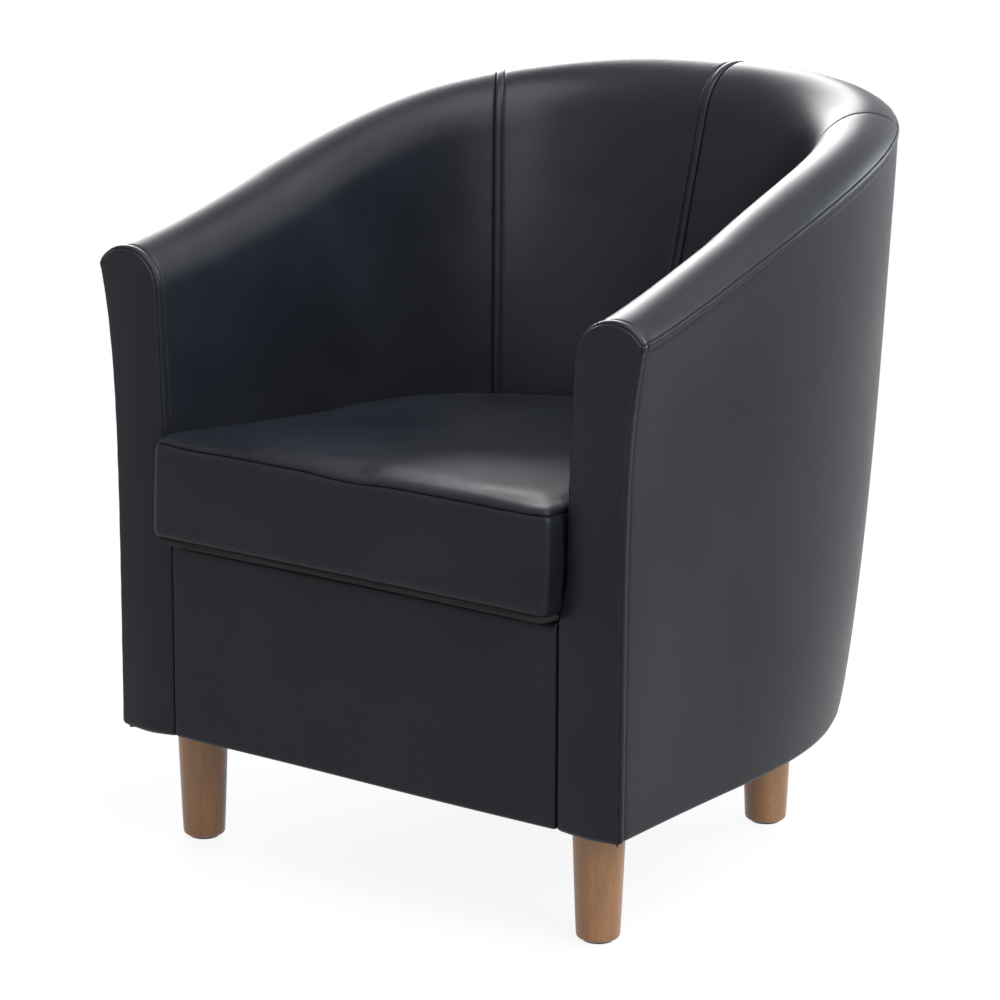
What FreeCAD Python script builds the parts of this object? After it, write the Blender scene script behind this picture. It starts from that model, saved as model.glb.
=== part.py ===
"""Tub chair: a bent frame of boards and ribs, webbed seat, padded rolled back, sewn leather covers,
four turned legs and a loose seat cushion.

Millimetres, +Z up. The origin is on the floor under the middle of the chair, and the seat faces -Y.
The back wraps round the seat. Every piece of it is described in upright planes that stand across the
wrap, each named by a side (-1 left, 1 right) and a share of the way from the arm's front (0) to the
middle of the back (1).
"""
import FreeCAD, Part
import math
import os

from FreeCAD import Placement, Rotation, Vector

SIZES = [
    ("arm_height", 614.0, "top of the arm at its front"),
    ("back_height", 752.0, "top of the back at its middle"),
    ("body_floor", 121.0, "underside of the upholstered body"),
    ("base_width", 619.0, "body width at its underside, at the front"),
    ("base_waist", 608.0, "body width at its underside, where the curve starts"),
    ("base_depth", 590.0, "body depth at its underside"),
    ("rim_width", 658.0, "width over the outer top seam at the front"),
    ("rim_waist", 650.0, "width over the outer top seam, where the curve starts"),
    ("rim_depth", 680.0, "depth to the outer top seam"),
    ("seat_width", 491.0, "width between the arms at the front"),
    ("seat_waist", 470.0, "width between the arms, where the curve starts"),
    ("seat_depth", 490.0, "depth from the arm fronts to the inside back"),
    ("side_run", 200.0, "length of the arm before the curve starts"),
    ("squareness", 2.5, "exponent of the plan curve, 2 is an ellipse"),
    ("side_share", 0.284, "share of the wrap that the straight arm takes"),
    ("rise_power", 1.3, "how late the ridge rises"),
    ("seam_turn", 54.5, "side seams of the inside, degrees round the curve"),
    ("roll_front", 42.0, "radius of the rolled edge at the arm's front"),
    ("roll_back", 61.0, "radius of the rolled edge at the back"),
    ("drop_front", 18.0, "outer seam below the ridge, at the front"),
    ("drop_back", 14.0, "outer seam below the ridge, at the back"),
    ("lean_front", 6.0, "exponent of the outer side's flare at the front"),
    ("lean_back", 0.35, "exponent of the outer side's flare at the back"),
    ("crest_level", 418.0, "level under which the inside face is upright"),
    ("seat_pitch", 3.0, "fall of the seat towards the back, degrees"),
    ("leather", 1.4, "thickness of the covers"),
    ("slack", 0.3, "clearance between layers"),
    ("pad_front", 18.0, "foam over the arm"),
    ("pad_back", 30.0, "foam over the back"),
    ("liner", 3.0, "room for the webbing behind the foam"),
    ("seam_start", 1.5, "foam set back from the outer top seam"),
    ("backing", 2.0, "fibreboard under the outside cover"),
    ("ply", 18.0, "plywood and rail thickness"),
    ("face_pad", 8.0, "foam under the facings and the front panel"),
    ("base_ring_width", 104.0, "width of the base ring"),
    ("hoop_width", 22.0, "width of the top hoop"),
    ("ring_inner", 26.0, "seat ring inside the inner face"),
    ("hem", 30.0, "cover turned under the body"),
    ("panel_width", 474.0, "width of the front panel"),
    ("panel_top", 324.0, "top of the front panel"),
    ("panel_proud", 1.5, "front panel in front of the facings"),
    ("panel_round", 9.0, "round of the front panel's top edge"),
    ("lip_depth", 90.0, "leather lip on the front of the deck"),
    ("strap_width", 50.0, "seat webbing width"),
    ("strap_thick", 1.2, "seat webbing thickness"),
    ("strap_setback", 4.0, "strap ends inside the inner cover"),
    ("strap_pitch", 92.0, "spacing of the long straps"),
    ("cross_first", 150.0, "first cross strap behind the arm fronts"),
    ("cross_pitch", 105.0, "spacing of the cross straps"),
    ("deck_thick", 1.0, "deck cloth thickness"),
    ("cushion_height", 102.0, "seat cushion up to its top seam"),
    ("cushion_base", 8.0, "lower seam of the cushion over its underside"),
    ("cushion_swell", 1.2, "bulge of the cushion's border"),
    ("cushion_crown", 13.0, "rise of the cushion's middle"),
    ("cushion_proud", 24.0, "cushion in front of the arms"),
    ("cushion_play", 2.5, "gap beside the cushion"),
    ("cushion_rear_play", 14.5, "gap behind the cushion"),
    ("cushion_corner", 16.0, "round of the cushion's front corners"),
    ("zip_height", 12.0, "zip tape width"),
    ("zip_thick", 1.0, "zip tape thickness"),
    ("zip_reach", 28.0, "half of the zip's sweep round the cushion, degrees"),
    ("leg_top_width", 51.6, "leg diameter at the body"),
    ("leg_foot_width", 42.6, "leg diameter at the floor"),
    ("leg_round", 4.0, "round of the leg's foot edge"),
    ("glide_height", 2.6, "plastic glide under the leg"),
    ("glide_width", 30.0, "plastic glide diameter"),
    ("leg_front_x", 248.0, "front legs from the middle"),
    ("leg_front_y", 55.0, "front legs behind the arm fronts"),
    ("leg_rear_x", 181.0, "rear legs from the middle"),
    ("leg_rear_y", 446.0, "rear legs behind the arm fronts"),
    ("bolt_width", 8.0, "hanger bolt diameter"),
    ("bolt_in_leg", 42.0, "hanger bolt length in the leg"),
    ("bolt_end", 2.0, "hanger bolt above its nut"),
    ("nut_side", 18.0, "tee nut plate"),
    ("nut_height", 2.0, "tee nut plate thickness"),
    ("block_side", 54.0, "leg block side"),
    ("block_height", 28.0, "leg block height"),
    ("dust_thick", 0.8, "dust cover thickness"),
]

doc = FreeCAD.newDocument("TubChair")
sheet = doc.addObject("Spreadsheet::Sheet", "Sizes")
for row, (name, value, note) in enumerate(SIZES, start=1):
    sheet.set(f"A{row}", name)
    sheet.set(f"B{row}", str(value))
    sheet.set(f"C{row}", note)
    sheet.setAlias(f"B{row}", name)
doc.recompute()


def size(name):
    """The value of one driving size, read from the sheet."""
    return float(sheet.get(name))


FRONT_Y = (size("cushion_proud") - size("rim_depth")) / 2
SIDE_SHARE = size("side_share")
LEATHER = size("leather")
SLACK = size("slack")
PITCH = math.tan(math.radians(size("seat_pitch")))
ROLL_STEPS = 10
ARM_STEPS = 4
SIDE_STEPS = 6
BACK_STEPS = 5
SIDE_RISES = (0.0, 0.03, 0.08, 0.18, 0.32, 0.5, 0.7, 0.85, 0.94, 1.0)
SEAM_SHARE = SIDE_SHARE + (1 - SIDE_SHARE) * size("seam_turn") / 90


def ease(share):
    """0 at the arm's front and 1 at the middle of the back, level there."""
    return math.sin(math.radians(90 * share)) ** size("rise_power")


def between(front, back, share):
    return front + (back - front) * ease(share)


def share_at(depth):
    """The share of the wrap at a distance behind the arm fronts, on the straight arm."""
    return SIDE_SHARE * depth / size("side_run")


def place(side, share, reach, height):
    """The point of a wrap plane that lies at a reach from the wrap's axis and at a height."""
    if share <= SIDE_SHARE:
        return Vector(side * reach, FRONT_Y + size("side_run") * share / SIDE_SHARE, height)
    turn = math.radians(90 * (share - SIDE_SHARE) / (1 - SIDE_SHARE))
    return Vector(side * reach * math.cos(turn),
                  FRONT_Y + size("side_run") + reach * math.sin(turn), height)


def plan_reach(share, level):
    """Reach of the base, rim or seat outline: a straight arm, then a squared ellipse."""
    waist = size(level + "_waist") / 2
    if share <= SIDE_SHARE:
        ahead = 1 - share / SIDE_SHARE
        return waist + (size(level + "_width") / 2 - waist) * ahead ** 2
    turn = math.radians(90 * (share - SIDE_SHARE) / (1 - SIDE_SHARE))
    power = size("squareness")
    deep = size(level + "_depth") - size("side_run")
    return ((math.cos(turn) / waist) ** power + (math.sin(turn) / deep) ** power) ** (-1 / power)


def ridge(share):
    return between(size("arm_height"), size("back_height"), share)


def rim_height(share):
    return ridge(share) - between(size("drop_front"), size("drop_back"), share)


def roll_radius(share):
    return between(size("roll_front"), size("roll_back"), share)


def roll_centre(share):
    """Reach and height of the middle of the rolled edge, which passes through the outer seam."""
    radius = roll_radius(share)
    above = radius - (ridge(share) - rim_height(share))
    return plan_reach(share, "rim") - math.sqrt(radius ** 2 - above ** 2), ridge(share) - radius


def outer_reach(share, rise):
    """Reach of the outer side at a share of its height: upright at the front, bellied at the back."""
    front, back = size("lean_front"), size("lean_back")
    lean = front * (back / front) ** ease(share)
    base = plan_reach(share, "base")
    return base + (plan_reach(share, "rim") - base) * rise ** lean


def crest(share):
    """Reach and height of the line at which the inside face starts to lean back."""
    reach = plan_reach(share, "seat")
    behind = place(1, share, reach, 0).y - FRONT_Y
    return reach, size("crest_level") - PITCH * behind


def inner_lean(share):
    """Angle from upright of the inside face, which is tangent to the rolled edge."""
    reach, level = crest(share)
    mid_reach, mid_level = roll_centre(share)
    away_reach, away_level = mid_reach - reach, mid_level - level
    span = math.hypot(away_reach, away_level)
    return math.atan2(away_reach, away_level) - math.asin(roll_radius(share) / span)


def weave_level(level):
    """Height over the seat ring of a strap's underside: 0 on the ring, 1 over another strap."""
    return level * (size("strap_thick") + SLACK)


def seat_level(behind):
    """The plane that the cushion lies on, at a distance behind the arm fronts."""
    return size("panel_top") - PITCH * behind


def deck_level(behind):
    """Top of the seat ring, under the woven straps and the leather lip."""
    return seat_level(behind) - LEATHER - SLACK - weave_level(1) - size("strap_thick")


def ring_level(share):
    return deck_level(place(1, share, plan_reach(share, "seat"), 0).y - FRONT_Y)


def section(side, share, points):
    """A closed outline in one wrap plane, through points given by reach and height."""
    return [place(side, share, *point) for point in points]


def seam_angle(share):
    """Angle over level at which the outer seam lies on the rolled edge."""
    return math.asin((rim_height(share) - roll_centre(share)[1]) / roll_radius(share))


def roll_run(share, depth, setback=0.0):
    """Points of the rolled edge from the outer seam over the ridge to the inside face, and down
    that face to the seat ring, at a depth under the outside of the cover."""
    mid_reach, mid_level = roll_centre(share)
    radius = roll_radius(share) - depth
    first = seam_angle(share) + setback / roll_radius(share)
    last = math.pi - inner_lean(share)
    run = []
    for step in range(ROLL_STEPS + 1):
        turn = first + (last - first) * step / ROLL_STEPS
        run.append((mid_reach + radius * math.cos(turn), mid_level + radius * math.sin(turn)))
    crest_reach, crest_height = crest(share)
    crest_reach += depth
    run.append((crest_reach, crest_height - depth * math.tan(inner_lean(share) / 2)))
    run.append((crest_reach, ring_level(share) + SLACK))
    return run


def outside_run(share, depth, bottom, top_gap):
    """Points of the outer side from a height over the underside to a gap under the outer seam."""
    low = size("body_floor")
    tall = rim_height(share) - low
    rises = [min(rise, 1 - top_gap / tall) for rise in SIDE_RISES]
    return [(outer_reach(share, rise) - depth, low + max(bottom, tall * rise)) for rise in rises]


def layer(side, share, depth, thickness, setback=0.0):
    """Section of a cover or pad over the roll and the inside face."""
    near = roll_run(share, depth, setback)
    far = roll_run(share, depth + thickness, setback)
    return section(side, share, near + far[::-1])


COVER_START = share_at(LEATHER)
BOARD_FRONT = LEATHER + SLACK + size("face_pad")
BOARD_BACK = BOARD_FRONT + size("ply")
FRAME_START = share_at(BOARD_BACK)
PAD_DEPTH = LEATHER + SLACK
BASE_LOW = size("body_floor") + LEATHER + SLACK
BASE_HIGH = BASE_LOW + size("ply")


def marks_from(start):
    """Shares of the wrap's planes from a start to the middle of the back."""
    marks = [share_at(BOARD_FRONT)]
    marks += [SIDE_SHARE * step / ARM_STEPS for step in range(1, ARM_STEPS + 1)]
    marks += [SIDE_SHARE + (SEAM_SHARE - SIDE_SHARE) * step / SIDE_STEPS
              for step in range(1, SIDE_STEPS + 1)]
    marks += [SEAM_SHARE + (1 - SEAM_SHARE) * step / BACK_STEPS for step in range(1, BACK_STEPS + 1)]
    return [start] + [mark for mark in marks if mark > start + 0.01]


def whole_wrap(start):
    """Planes from the left arm's front round the back to the right arm's front."""
    half = marks_from(start)
    return [(-1, share) for share in half] + [(1, share) for share in reversed(half[:-1])]


PIECES = []


def keep(piece, label):
    piece.Label = label
    PIECES.append(piece)
    return piece


def solid_piece(label, shape, placement=None):
    """A piece whose shape is worked out here."""
    piece = doc.addObject("Part::Feature", label)
    piece.Shape = shape
    if placement is not None:
        piece.Placement = placement
    return keep(piece, label)


def away(start, end):
    """How far the middle of a line lies from the middle of the seat, in plan."""
    middle = (start + end) / 2
    behind = max(0.0, middle.y - FRONT_Y - size("side_run"))
    return math.hypot(middle.x, behind)


def skinned(rings, hollow=False):
    """A solid skinned over rings of points. Each four-cornered patch between two rings becomes two
    flat facets, folded on the diagonal that lies further out, so that layers stay parallel. A hollow
    one closes on itself; the others are closed by a flat face at each end."""
    faces = []
    count = len(rings[0])
    for near, far in zip(rings, rings[1:] + rings[:1] if hollow else rings[1:]):
        for index in range(count):
            after = (index + 1) % count
            a, b, c, d = near[index], near[after], far[after], far[index]
            cuts = ((a, b, c), (a, c, d)) if away(a, c) > away(b, d) else ((a, b, d), (b, c, d))
            faces += [Part.Face(Part.makePolygon([*cut, cut[0]])) for cut in cuts]
    if not hollow:
        faces += [Part.Face(Part.makePolygon(ring + ring[:1])) for ring in (rings[0], rings[-1])]
    shell = Part.makeShell(faces)
    shell.sewShape()
    solid = Part.makeSolid(shell)
    if solid.Volume < 0:
        solid.reverse()
    return solid


def wrapped(label, planes, profile):
    """A piece that follows the wrap, skinned over its section in each plane."""
    return solid_piece(label, skinned([profile(side, share) for side, share in planes]))


def flat_ring(label, planes, inner, outer, level, thickness):
    """A board that follows the wrap in plan and lies in one plane, level or pitched."""
    inside = [place(side, share, inner(share), 0) for side, share in planes]
    outside = [place(side, share, outer(share), 0) for side, share in planes]
    outline = inside + outside[::-1]
    for point in outline:
        point.z = level(point.y - FRONT_Y)
    board = Part.Face(Part.makePolygon(outline + outline[:1]))
    return solid_piece(label, board.extrude(Vector(0, 0, -thickness)))


def pad_thickness(share):
    return between(size("pad_front"), size("pad_back"), share)


def liner_back(share):
    """Depth of the rear of the fibreboard that backs the foam."""
    return PAD_DEPTH + pad_thickness(share) + SLACK + size("liner")


def backing_depth():
    return LEATHER + SLACK + size("backing")


# Frame: base ring, seat ring and top hoop follow the wrap; ribs join them
def base_outer(share):
    return plan_reach(share, "base") - backing_depth() - SLACK


def base_inner(share):
    return base_outer(share) - size("base_ring_width")


def ring_inner(share):
    return plan_reach(share, "seat") - size("ring_inner")


def ring_outer(share):
    return plan_reach(share, "seat") + liner_back(share)


def hoop_levels(share):
    """Reach of the middle, and the underside and top, of the hoop in the rolled edge."""
    reach, level = roll_centre(share)
    hollow = roll_radius(share) - PAD_DEPTH - pad_thickness(share) - SLACK
    rise = math.sqrt(hollow ** 2 - (size("hoop_width") / 2) ** 2)
    return reach, level + rise - size("ply"), level + rise


def top_hoop(side, share):
    reach, low, high = hoop_levels(share)
    near, far = reach - size("hoop_width") / 2, reach + size("hoop_width") / 2
    return section(side, share, [(near, low), (far, low), (far, high), (near, high)])


FRAME_WRAP = whole_wrap(FRAME_START)
base_board = flat_ring("base_ring", FRAME_WRAP, base_inner, base_outer, lambda behind: BASE_HIGH,
                       size("ply"))
flat_ring("seat_ring", FRAME_WRAP, ring_inner, ring_outer, deck_level, size("ply"))
wrapped("top_hoop", FRAME_WRAP, top_hoop)


def across_rib(limit, share, pick):
    """The tightest value of a limit over a rib's thickness, where the wrap narrows or climbs."""
    spread = share_at(0.7 * size("ply"))
    return pick(limit(min(share + step * spread, 2 - share - step * spread)) for step in (-1, 0, 1))


def rib(label, side, share):
    """A plywood rib across the wrap, cut to the inside and outside of the frame."""
    inset = backing_depth() + 2 * SLACK
    top = across_rib(lambda mark: hoop_levels(mark)[1], share, min) - SLACK
    crest_height = crest(share)[1]
    inner = across_rib(lambda mark: ring_outer(mark), share, max) + SLACK

    def outer(rise):
        return across_rib(lambda mark: outer_reach(mark, rise), share, min) - inset

    def height(rise):
        return size("body_floor") + rise * (rim_height(share) - size("body_floor"))

    low_rise = (BASE_HIGH - size("body_floor")) / (rim_height(share) - size("body_floor"))
    high_rise = (top - size("body_floor")) / (rim_height(share) - size("body_floor"))
    hoop_reach = hoop_levels(share)[0]
    leaning = inner + (top - crest_height) * math.tan(inner_lean(share))
    outline = [(inner, BASE_HIGH), (outer(low_rise), BASE_HIGH)]
    outline += [(outer(rise), height(rise)) for rise in SIDE_RISES if low_rise < rise < high_rise]
    outline += [(min(outer(high_rise), hoop_reach + size("hoop_width")), top),
                (min(leaning, hoop_reach - 2 * SLACK), top), (inner, crest_height)]
    points = section(side, share, outline)
    face = Part.Face(Part.makePolygon(points + points[:1]))
    across = face.normalAt(0, 0)
    plate = face.extrude(across * size("ply"))
    plate.translate(across * (-size("ply") / 2))
    solid_piece(label, plate)


RIB_ARM = 0.55 * SIDE_SHARE
RIB_CORNER = SIDE_SHARE + (SEAM_SHARE - SIDE_SHARE) * 2 / 5
RIB_BACK = SEAM_SHARE + (1 - SEAM_SHARE) * 1 / 4
rib("back_rib", 1, 1.0)
for side, name in ((-1, "left"), (1, "right")):
    rib(f"arm_rib_{name}", side, RIB_ARM)
    rib(f"corner_rib_{name}", side, RIB_CORNER)
    rib(f"back_rib_{name}", side, RIB_BACK)


# Padding, the webbing behind it and the board under the outside cover
def foam(side, share):
    return layer(side, share, PAD_DEPTH, pad_thickness(share) - SLACK, size("seam_start"))


def outer_board(side, share):
    gap = (backing_depth() + SLACK) * math.tan(seam_angle(share)) + 2 * SLACK
    near = outside_run(share, PAD_DEPTH, PAD_DEPTH, gap)
    far = outside_run(share, backing_depth(), PAD_DEPTH, gap)
    return section(side, share, near + far[::-1])


def inside_strap(side, share):
    """An upright strap behind the foam, from the seat ring to the rolled edge."""
    rings = []
    half = share_at(size("strap_width") / 2)
    for mark in (share - half, share, share + half):
        faces = []
        for depth in (liner_back(mark) - size("strap_thick"), liner_back(mark)):
            face = roll_run(mark, depth)[ROLL_STEPS:-1]
            foot = deck_level(place(1, mark, face[-1][0], 0).y - FRONT_Y) + SLACK
            faces.append(face + [(face[-1][0], foot)])
        rings.append(section(side, mark, faces[0] + faces[1][::-1]))
    return skinned(rings)


def between_marks(side, start, end):
    return [(side, share) for share in marks_from(start) if share < end + 0.001]


BOARD_START = share_at(BOARD_FRONT)
for side, name in ((-1, "left"), (1, "right")):
    wrapped(f"arm_foam_{name}", between_marks(side, BOARD_START, SEAM_SHARE), foam)
    wrapped(f"back_foam_{name}", between_marks(side, SEAM_SHARE, 1.0), foam)
    wrapped(f"side_board_{name}", between_marks(side, BOARD_START, SEAM_SHARE), outer_board)
BACK_BOARD = [plane for plane in whole_wrap(BOARD_START) if plane[1] > SEAM_SHARE - 0.001]
wrapped("back_board", BACK_BOARD, outer_board)
SIDE_SPAN = SEAM_SHARE - SIDE_SHARE
FIRST_STRAP = share_at(BOARD_BACK + SLACK + size("strap_width") / 2)
STRAP_MARKS = (FIRST_STRAP, SIDE_SHARE, SIDE_SHARE + SIDE_SPAN * 4 / SIDE_STEPS,
               SEAM_SHARE + (1 - SEAM_SHARE) * 3 / BACK_STEPS)
solid_piece("inside_webbing", Part.makeCompound(
    [inside_strap(side, share) for side in (-1, 1) for share in STRAP_MARKS]))


# Leather covers: four panels inside, joined by three seams, and one round the outside
def inner_cover(side, share):
    return layer(side, share, 0.0, LEATHER)


def outside_cover(side, share):
    seam_gap = LEATHER * math.sin(seam_angle(share)) + SLACK
    near = outside_run(share, 0.0, 0.0, seam_gap)
    far = outside_run(share, LEATHER, LEATHER, seam_gap)
    tuck = near[0][0] - size("hem")
    turned = [(tuck, size("body_floor") + LEATHER), (tuck, size("body_floor"))]
    return section(side, share, near + far[::-1] + turned)


for side, name in ((-1, "left"), (1, "right")):
    wrapped(f"arm_cover_{name}", between_marks(side, COVER_START, SEAM_SHARE), inner_cover)
    wrapped(f"back_cover_{name}", between_marks(side, SEAM_SHARE, 1.0), inner_cover)
wrapped("outside_cover", whole_wrap(COVER_START), outside_cover)


# Facings: board, foam and leather in the outline of the arm's front
def arm_outline(back, side_depth, roll_depth, foot):
    """Outer side as narrow as at the back of a flat piece, then the rolled edge and inside face."""
    low, mark = size("body_floor"), share_at(back)
    upright = []
    for reach, height in outside_run(0.0, 0.0, 0.0, roll_depth * math.sin(seam_angle(0.0)) + SLACK):
        behind = outer_reach(mark, (height - low) / (rim_height(mark) - low))
        upright.append((min(reach, behind) - side_depth, max(height, foot)))
    return upright + roll_run(0.0, roll_depth)[:-1]


def arm_plate(label, side, outline, front, thickness):
    """A flat piece across the front of an arm."""
    corners = [Vector(side * reach, FRONT_Y + front, height) for reach, height in outline]
    face = Part.Face(Part.makePolygon(corners + corners[:1]))
    return solid_piece(label, face.extrude(Vector(0, thickness, 0)))


PANEL_EDGE = size("panel_width") / 2
SEAT_EDGE = size("seat_width") / 2
BOARD_DEPTH = PAD_DEPTH + pad_thickness(0.0) + SLACK
BOARD_EDGE = SEAT_EDGE + BOARD_DEPTH
FOAM_EDGE = PANEL_EDGE + PAD_DEPTH
for side, name in ((-1, "left"), (1, "right")):
    facing = arm_outline(LEATHER, 0.0, 0.0, size("body_floor"))
    facing += [(SEAT_EDGE, size("panel_top")), (PANEL_EDGE, size("panel_top")),
               (PANEL_EDGE, size("body_floor"))]
    arm_plate(f"facing_{name}", side, facing, 0.0, LEATHER)
    padding = arm_outline(BOARD_FRONT, PAD_DEPTH + SLACK, PAD_DEPTH + SLACK, BASE_LOW)
    padding += [(SEAT_EDGE + PAD_DEPTH, ring_level(0)), (FOAM_EDGE, ring_level(0)), (FOAM_EDGE, BASE_LOW)]
    arm_plate(f"facing_foam_{name}", side, padding, PAD_DEPTH, size("face_pad") - SLACK)
    board = arm_outline(BOARD_BACK, backing_depth() + 2 * SLACK, BOARD_DEPTH, BASE_LOW)
    arm_plate(f"arm_board_{name}", side, board + [(BOARD_EDGE, BASE_LOW)], BOARD_FRONT, size("ply"))


# Front rail, its foam and the front panel, which rolls over the rail into the deck's leather lip
def across_body(label, outline, length_rule):
    """A PartDesign body: an outline in the YZ plane, padded evenly to both sides."""
    body = doc.addObject("PartDesign::Body", label + "_body")
    sketch = body.newObject("Sketcher::SketchObject", label + "_outline")
    plane = [item for item in body.Origin.OriginFeatures if item.Role == "YZ_Plane"][0]
    sketch.AttachmentSupport = [(plane, "")]
    sketch.MapMode = "FlatFace"
    ends = outline[1:] + outline[:1]
    for start, end in zip(outline, ends):
        sketch.addGeometry(Part.LineSegment(Vector(*start, 0), Vector(*end, 0)), False)
    pad = body.newObject("PartDesign::Pad", label + "_pad")
    pad.Profile = sketch
    pad.SideType = 2
    pad.setExpression("Length", length_rule)
    doc.recompute()
    return keep(body, label)


RAIL_TOP_FRONT = deck_level(BOARD_FRONT)
RAIL_TOP_BACK = deck_level(BOARD_BACK)
rail = [(FRONT_Y + BOARD_FRONT, BASE_LOW), (FRONT_Y + BOARD_BACK, BASE_LOW),
        (FRONT_Y + BOARD_BACK, RAIL_TOP_BACK), (FRONT_Y + BOARD_FRONT, RAIL_TOP_FRONT)]
RAIL_RULE = "Sizes.seat_width + 2 * (Sizes.leather + 2 * Sizes.slack + Sizes.pad_front)"
PANEL_RULE = "Sizes.panel_width - 2 * Sizes.slack"
across_body("front_rail", rail, RAIL_RULE)


def panel_run(depth):
    """Front panel from its hem up, over a rounded edge and back along the deck, at a depth."""
    front = depth - size("panel_proud")
    radius = size("panel_round")
    run = [(size("hem"), size("body_floor") + depth), (front, size("body_floor") + depth)]
    for step in range(7):
        turn = math.radians(15 * step)
        behind = front + (radius - depth) * (1 - math.cos(turn)) if radius > depth else front
        rise = seat_level(0) - radius + (radius - depth) * math.sin(turn)
        run.append((behind, rise - PITCH * behind * step / 6))
    run.append((size("lip_depth"), seat_level(size("lip_depth")) - depth))
    return run


leather_run = panel_run(0.0) + panel_run(LEATHER)[::-1]
leather_run = [(FRONT_Y + behind, height) for behind, height in leather_run]
across_body("front_panel", leather_run, PANEL_RULE)
pad_run = [(PAD_DEPTH - size("panel_proud"), BASE_LOW), (BOARD_FRONT - SLACK, BASE_LOW),
           (BOARD_FRONT - SLACK, RAIL_TOP_FRONT),
           (PAD_DEPTH - size("panel_proud"), RAIL_TOP_FRONT - size("panel_round") / 2)]
pad_run = [(FRONT_Y + behind, height) for behind, height in pad_run]
across_body("front_foam", pad_run, PANEL_RULE)


# Seat deck: woven elastic straps on the rail and seat ring, under a cloth
def strap_end(share):
    """Where a strap ends on the seat ring, in X and in distance behind the arm fronts."""
    spot = place(1, share, plan_reach(share, "seat") - size("strap_setback"), 0)
    return spot.x, spot.y - FRONT_Y


def share_where(passed):
    """The share of the wrap at which a condition on the strap's end starts to hold."""
    low, high = 0.0, 1.0
    for _ in range(40):
        share = (low + high) / 2
        low, high = (low, share) if passed(*strap_end(share)) else (share, high)
    return high


def ring_behind(across):
    return strap_end(share_where(lambda reach, behind: reach < across))[1]


def ring_across(behind):
    return strap_end(share_where(lambda reach, depth: depth > behind))[0]


LONG_STRAPS = [(index - 1.5) * size("strap_pitch") for index in range(4)]
CROSS_STRAPS = [size("cross_first") + index * size("cross_pitch") for index in range(3)]


def weave(marks, first_over, start, end):
    """Stations and levels of a strap that goes over and under the straps it crosses."""
    flat = size("strap_width") / 2 + 4
    run = [(start, 0)]
    for index, mark in enumerate(marks):
        level = 1 if (index % 2 == 0) == first_over else 0
        run += [(mark - flat, level), (mark + flat, level)]
    return run + [(end, 0)]


def strap_solid(run, point_at, across):
    """A strap from its run: the upper side over the lower side, drawn across its width."""
    thick = Vector(0, 0, size("strap_thick"))
    lower = [point_at(station, weave_level(level)) for station, level in run]
    outline = lower + [point + thick for point in reversed(lower)]
    return Part.Face(Part.makePolygon(outline + outline[:1])).extrude(across)


STAPLE_LONG, STAPLE_WIDE, STAPLE_HIGH = 10.0, 1.4, 0.8


def staple(centre, along):
    """The crown of a staple, which lies along a direction."""
    crown = Part.makeBox(STAPLE_LONG, STAPLE_WIDE, STAPLE_HIGH,
                         Vector(-STAPLE_LONG / 2, -STAPLE_WIDE / 2, 0))
    crown.rotate(Vector(0, 0, 0), Vector(0, 0, 1), math.degrees(math.atan2(along.y, along.x)))
    crown.translate(centre)
    return crown


long_solids, cross_solids, staples = [], [], []
half = size("strap_width") / 2
for index, across in enumerate(LONG_STRAPS):
    start, end = BOARD_FRONT + 4, ring_behind(abs(across) + half)
    run = weave(CROSS_STRAPS, index % 2 == 0, start, end)
    long_solids.append(strap_solid(
        run, lambda behind, rise: Vector(across - half, FRONT_Y + behind, deck_level(behind) + rise),
        Vector(2 * half, 0, 0)))
    for behind in (start + 5, end - 5):
        for shift in (-12, 12):
            top = deck_level(behind) + size("strap_thick") + 2 * SLACK
            staples.append(staple(Vector(across + shift, FRONT_Y + behind, top), Vector(1, 0, 0)))
for index, behind in enumerate(CROSS_STRAPS):
    reach = ring_across(behind + half)
    run = weave(LONG_STRAPS, index % 2 == 1, -reach, reach)
    slope = Vector(0, 2 * half, -PITCH * 2 * half)
    cross_solids.append(strap_solid(
        run, lambda across, rise: Vector(across, FRONT_Y + behind - half,
                                         deck_level(behind - half) + rise), slope))
    for side in (-1, 1):
        for shift in (-12, 12):
            top = deck_level(behind + shift) + size("strap_thick") + 2 * SLACK
            spot = Vector(side * (reach - 5), FRONT_Y + behind + shift, top)
            staples.append(staple(spot, Vector(0, 1, 0)))
solid_piece("long_webbing", Part.makeCompound(long_solids))
solid_piece("cross_webbing", Part.makeCompound(cross_solids))
solid_piece("webbing_staples", Part.makeCompound(staples))


def flat_sheet(label, planes, reach, level, thickness):
    """A sheet with the outline of the wrap, closed by a straight front edge."""
    outline = [place(side, share, reach(share), 0) for side, share in planes]
    for point in outline:
        point.z = level(point.y - FRONT_Y)
    face = Part.Face(Part.makePolygon(outline + outline[:1]))
    return face.extrude(Vector(0, 0, thickness))


deck = flat_sheet("deck_cloth", whole_wrap(share_at(size("lip_depth") + SLACK)),
                  lambda share: plan_reach(share, "seat") - 1.0,
                  lambda behind: seat_level(behind) - LEATHER, size("deck_thick"))
solid_piece("deck_cloth", deck)


# Legs: each has a glide under it and hangs on a bolt through the base ring and a block
LEG_SPOTS = {
    "front_left": (-size("leg_front_x"), FRONT_Y + size("leg_front_y")),
    "front_right": (size("leg_front_x"), FRONT_Y + size("leg_front_y")),
    "rear_left": (-size("leg_rear_x"), FRONT_Y + size("leg_rear_y")),
    "rear_right": (size("leg_rear_x"), FRONT_Y + size("leg_rear_y")),
}
LEG_TOP = size("body_floor") - size("dust_thick")
BLOCK_TOP = BASE_HIGH + size("block_height")
BORE = size("bolt_width") / 2 + SLACK
BORE_RULE = "Sizes.bolt_width / 2 + Sizes.slack"
LEG_SIDES = 40


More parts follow.
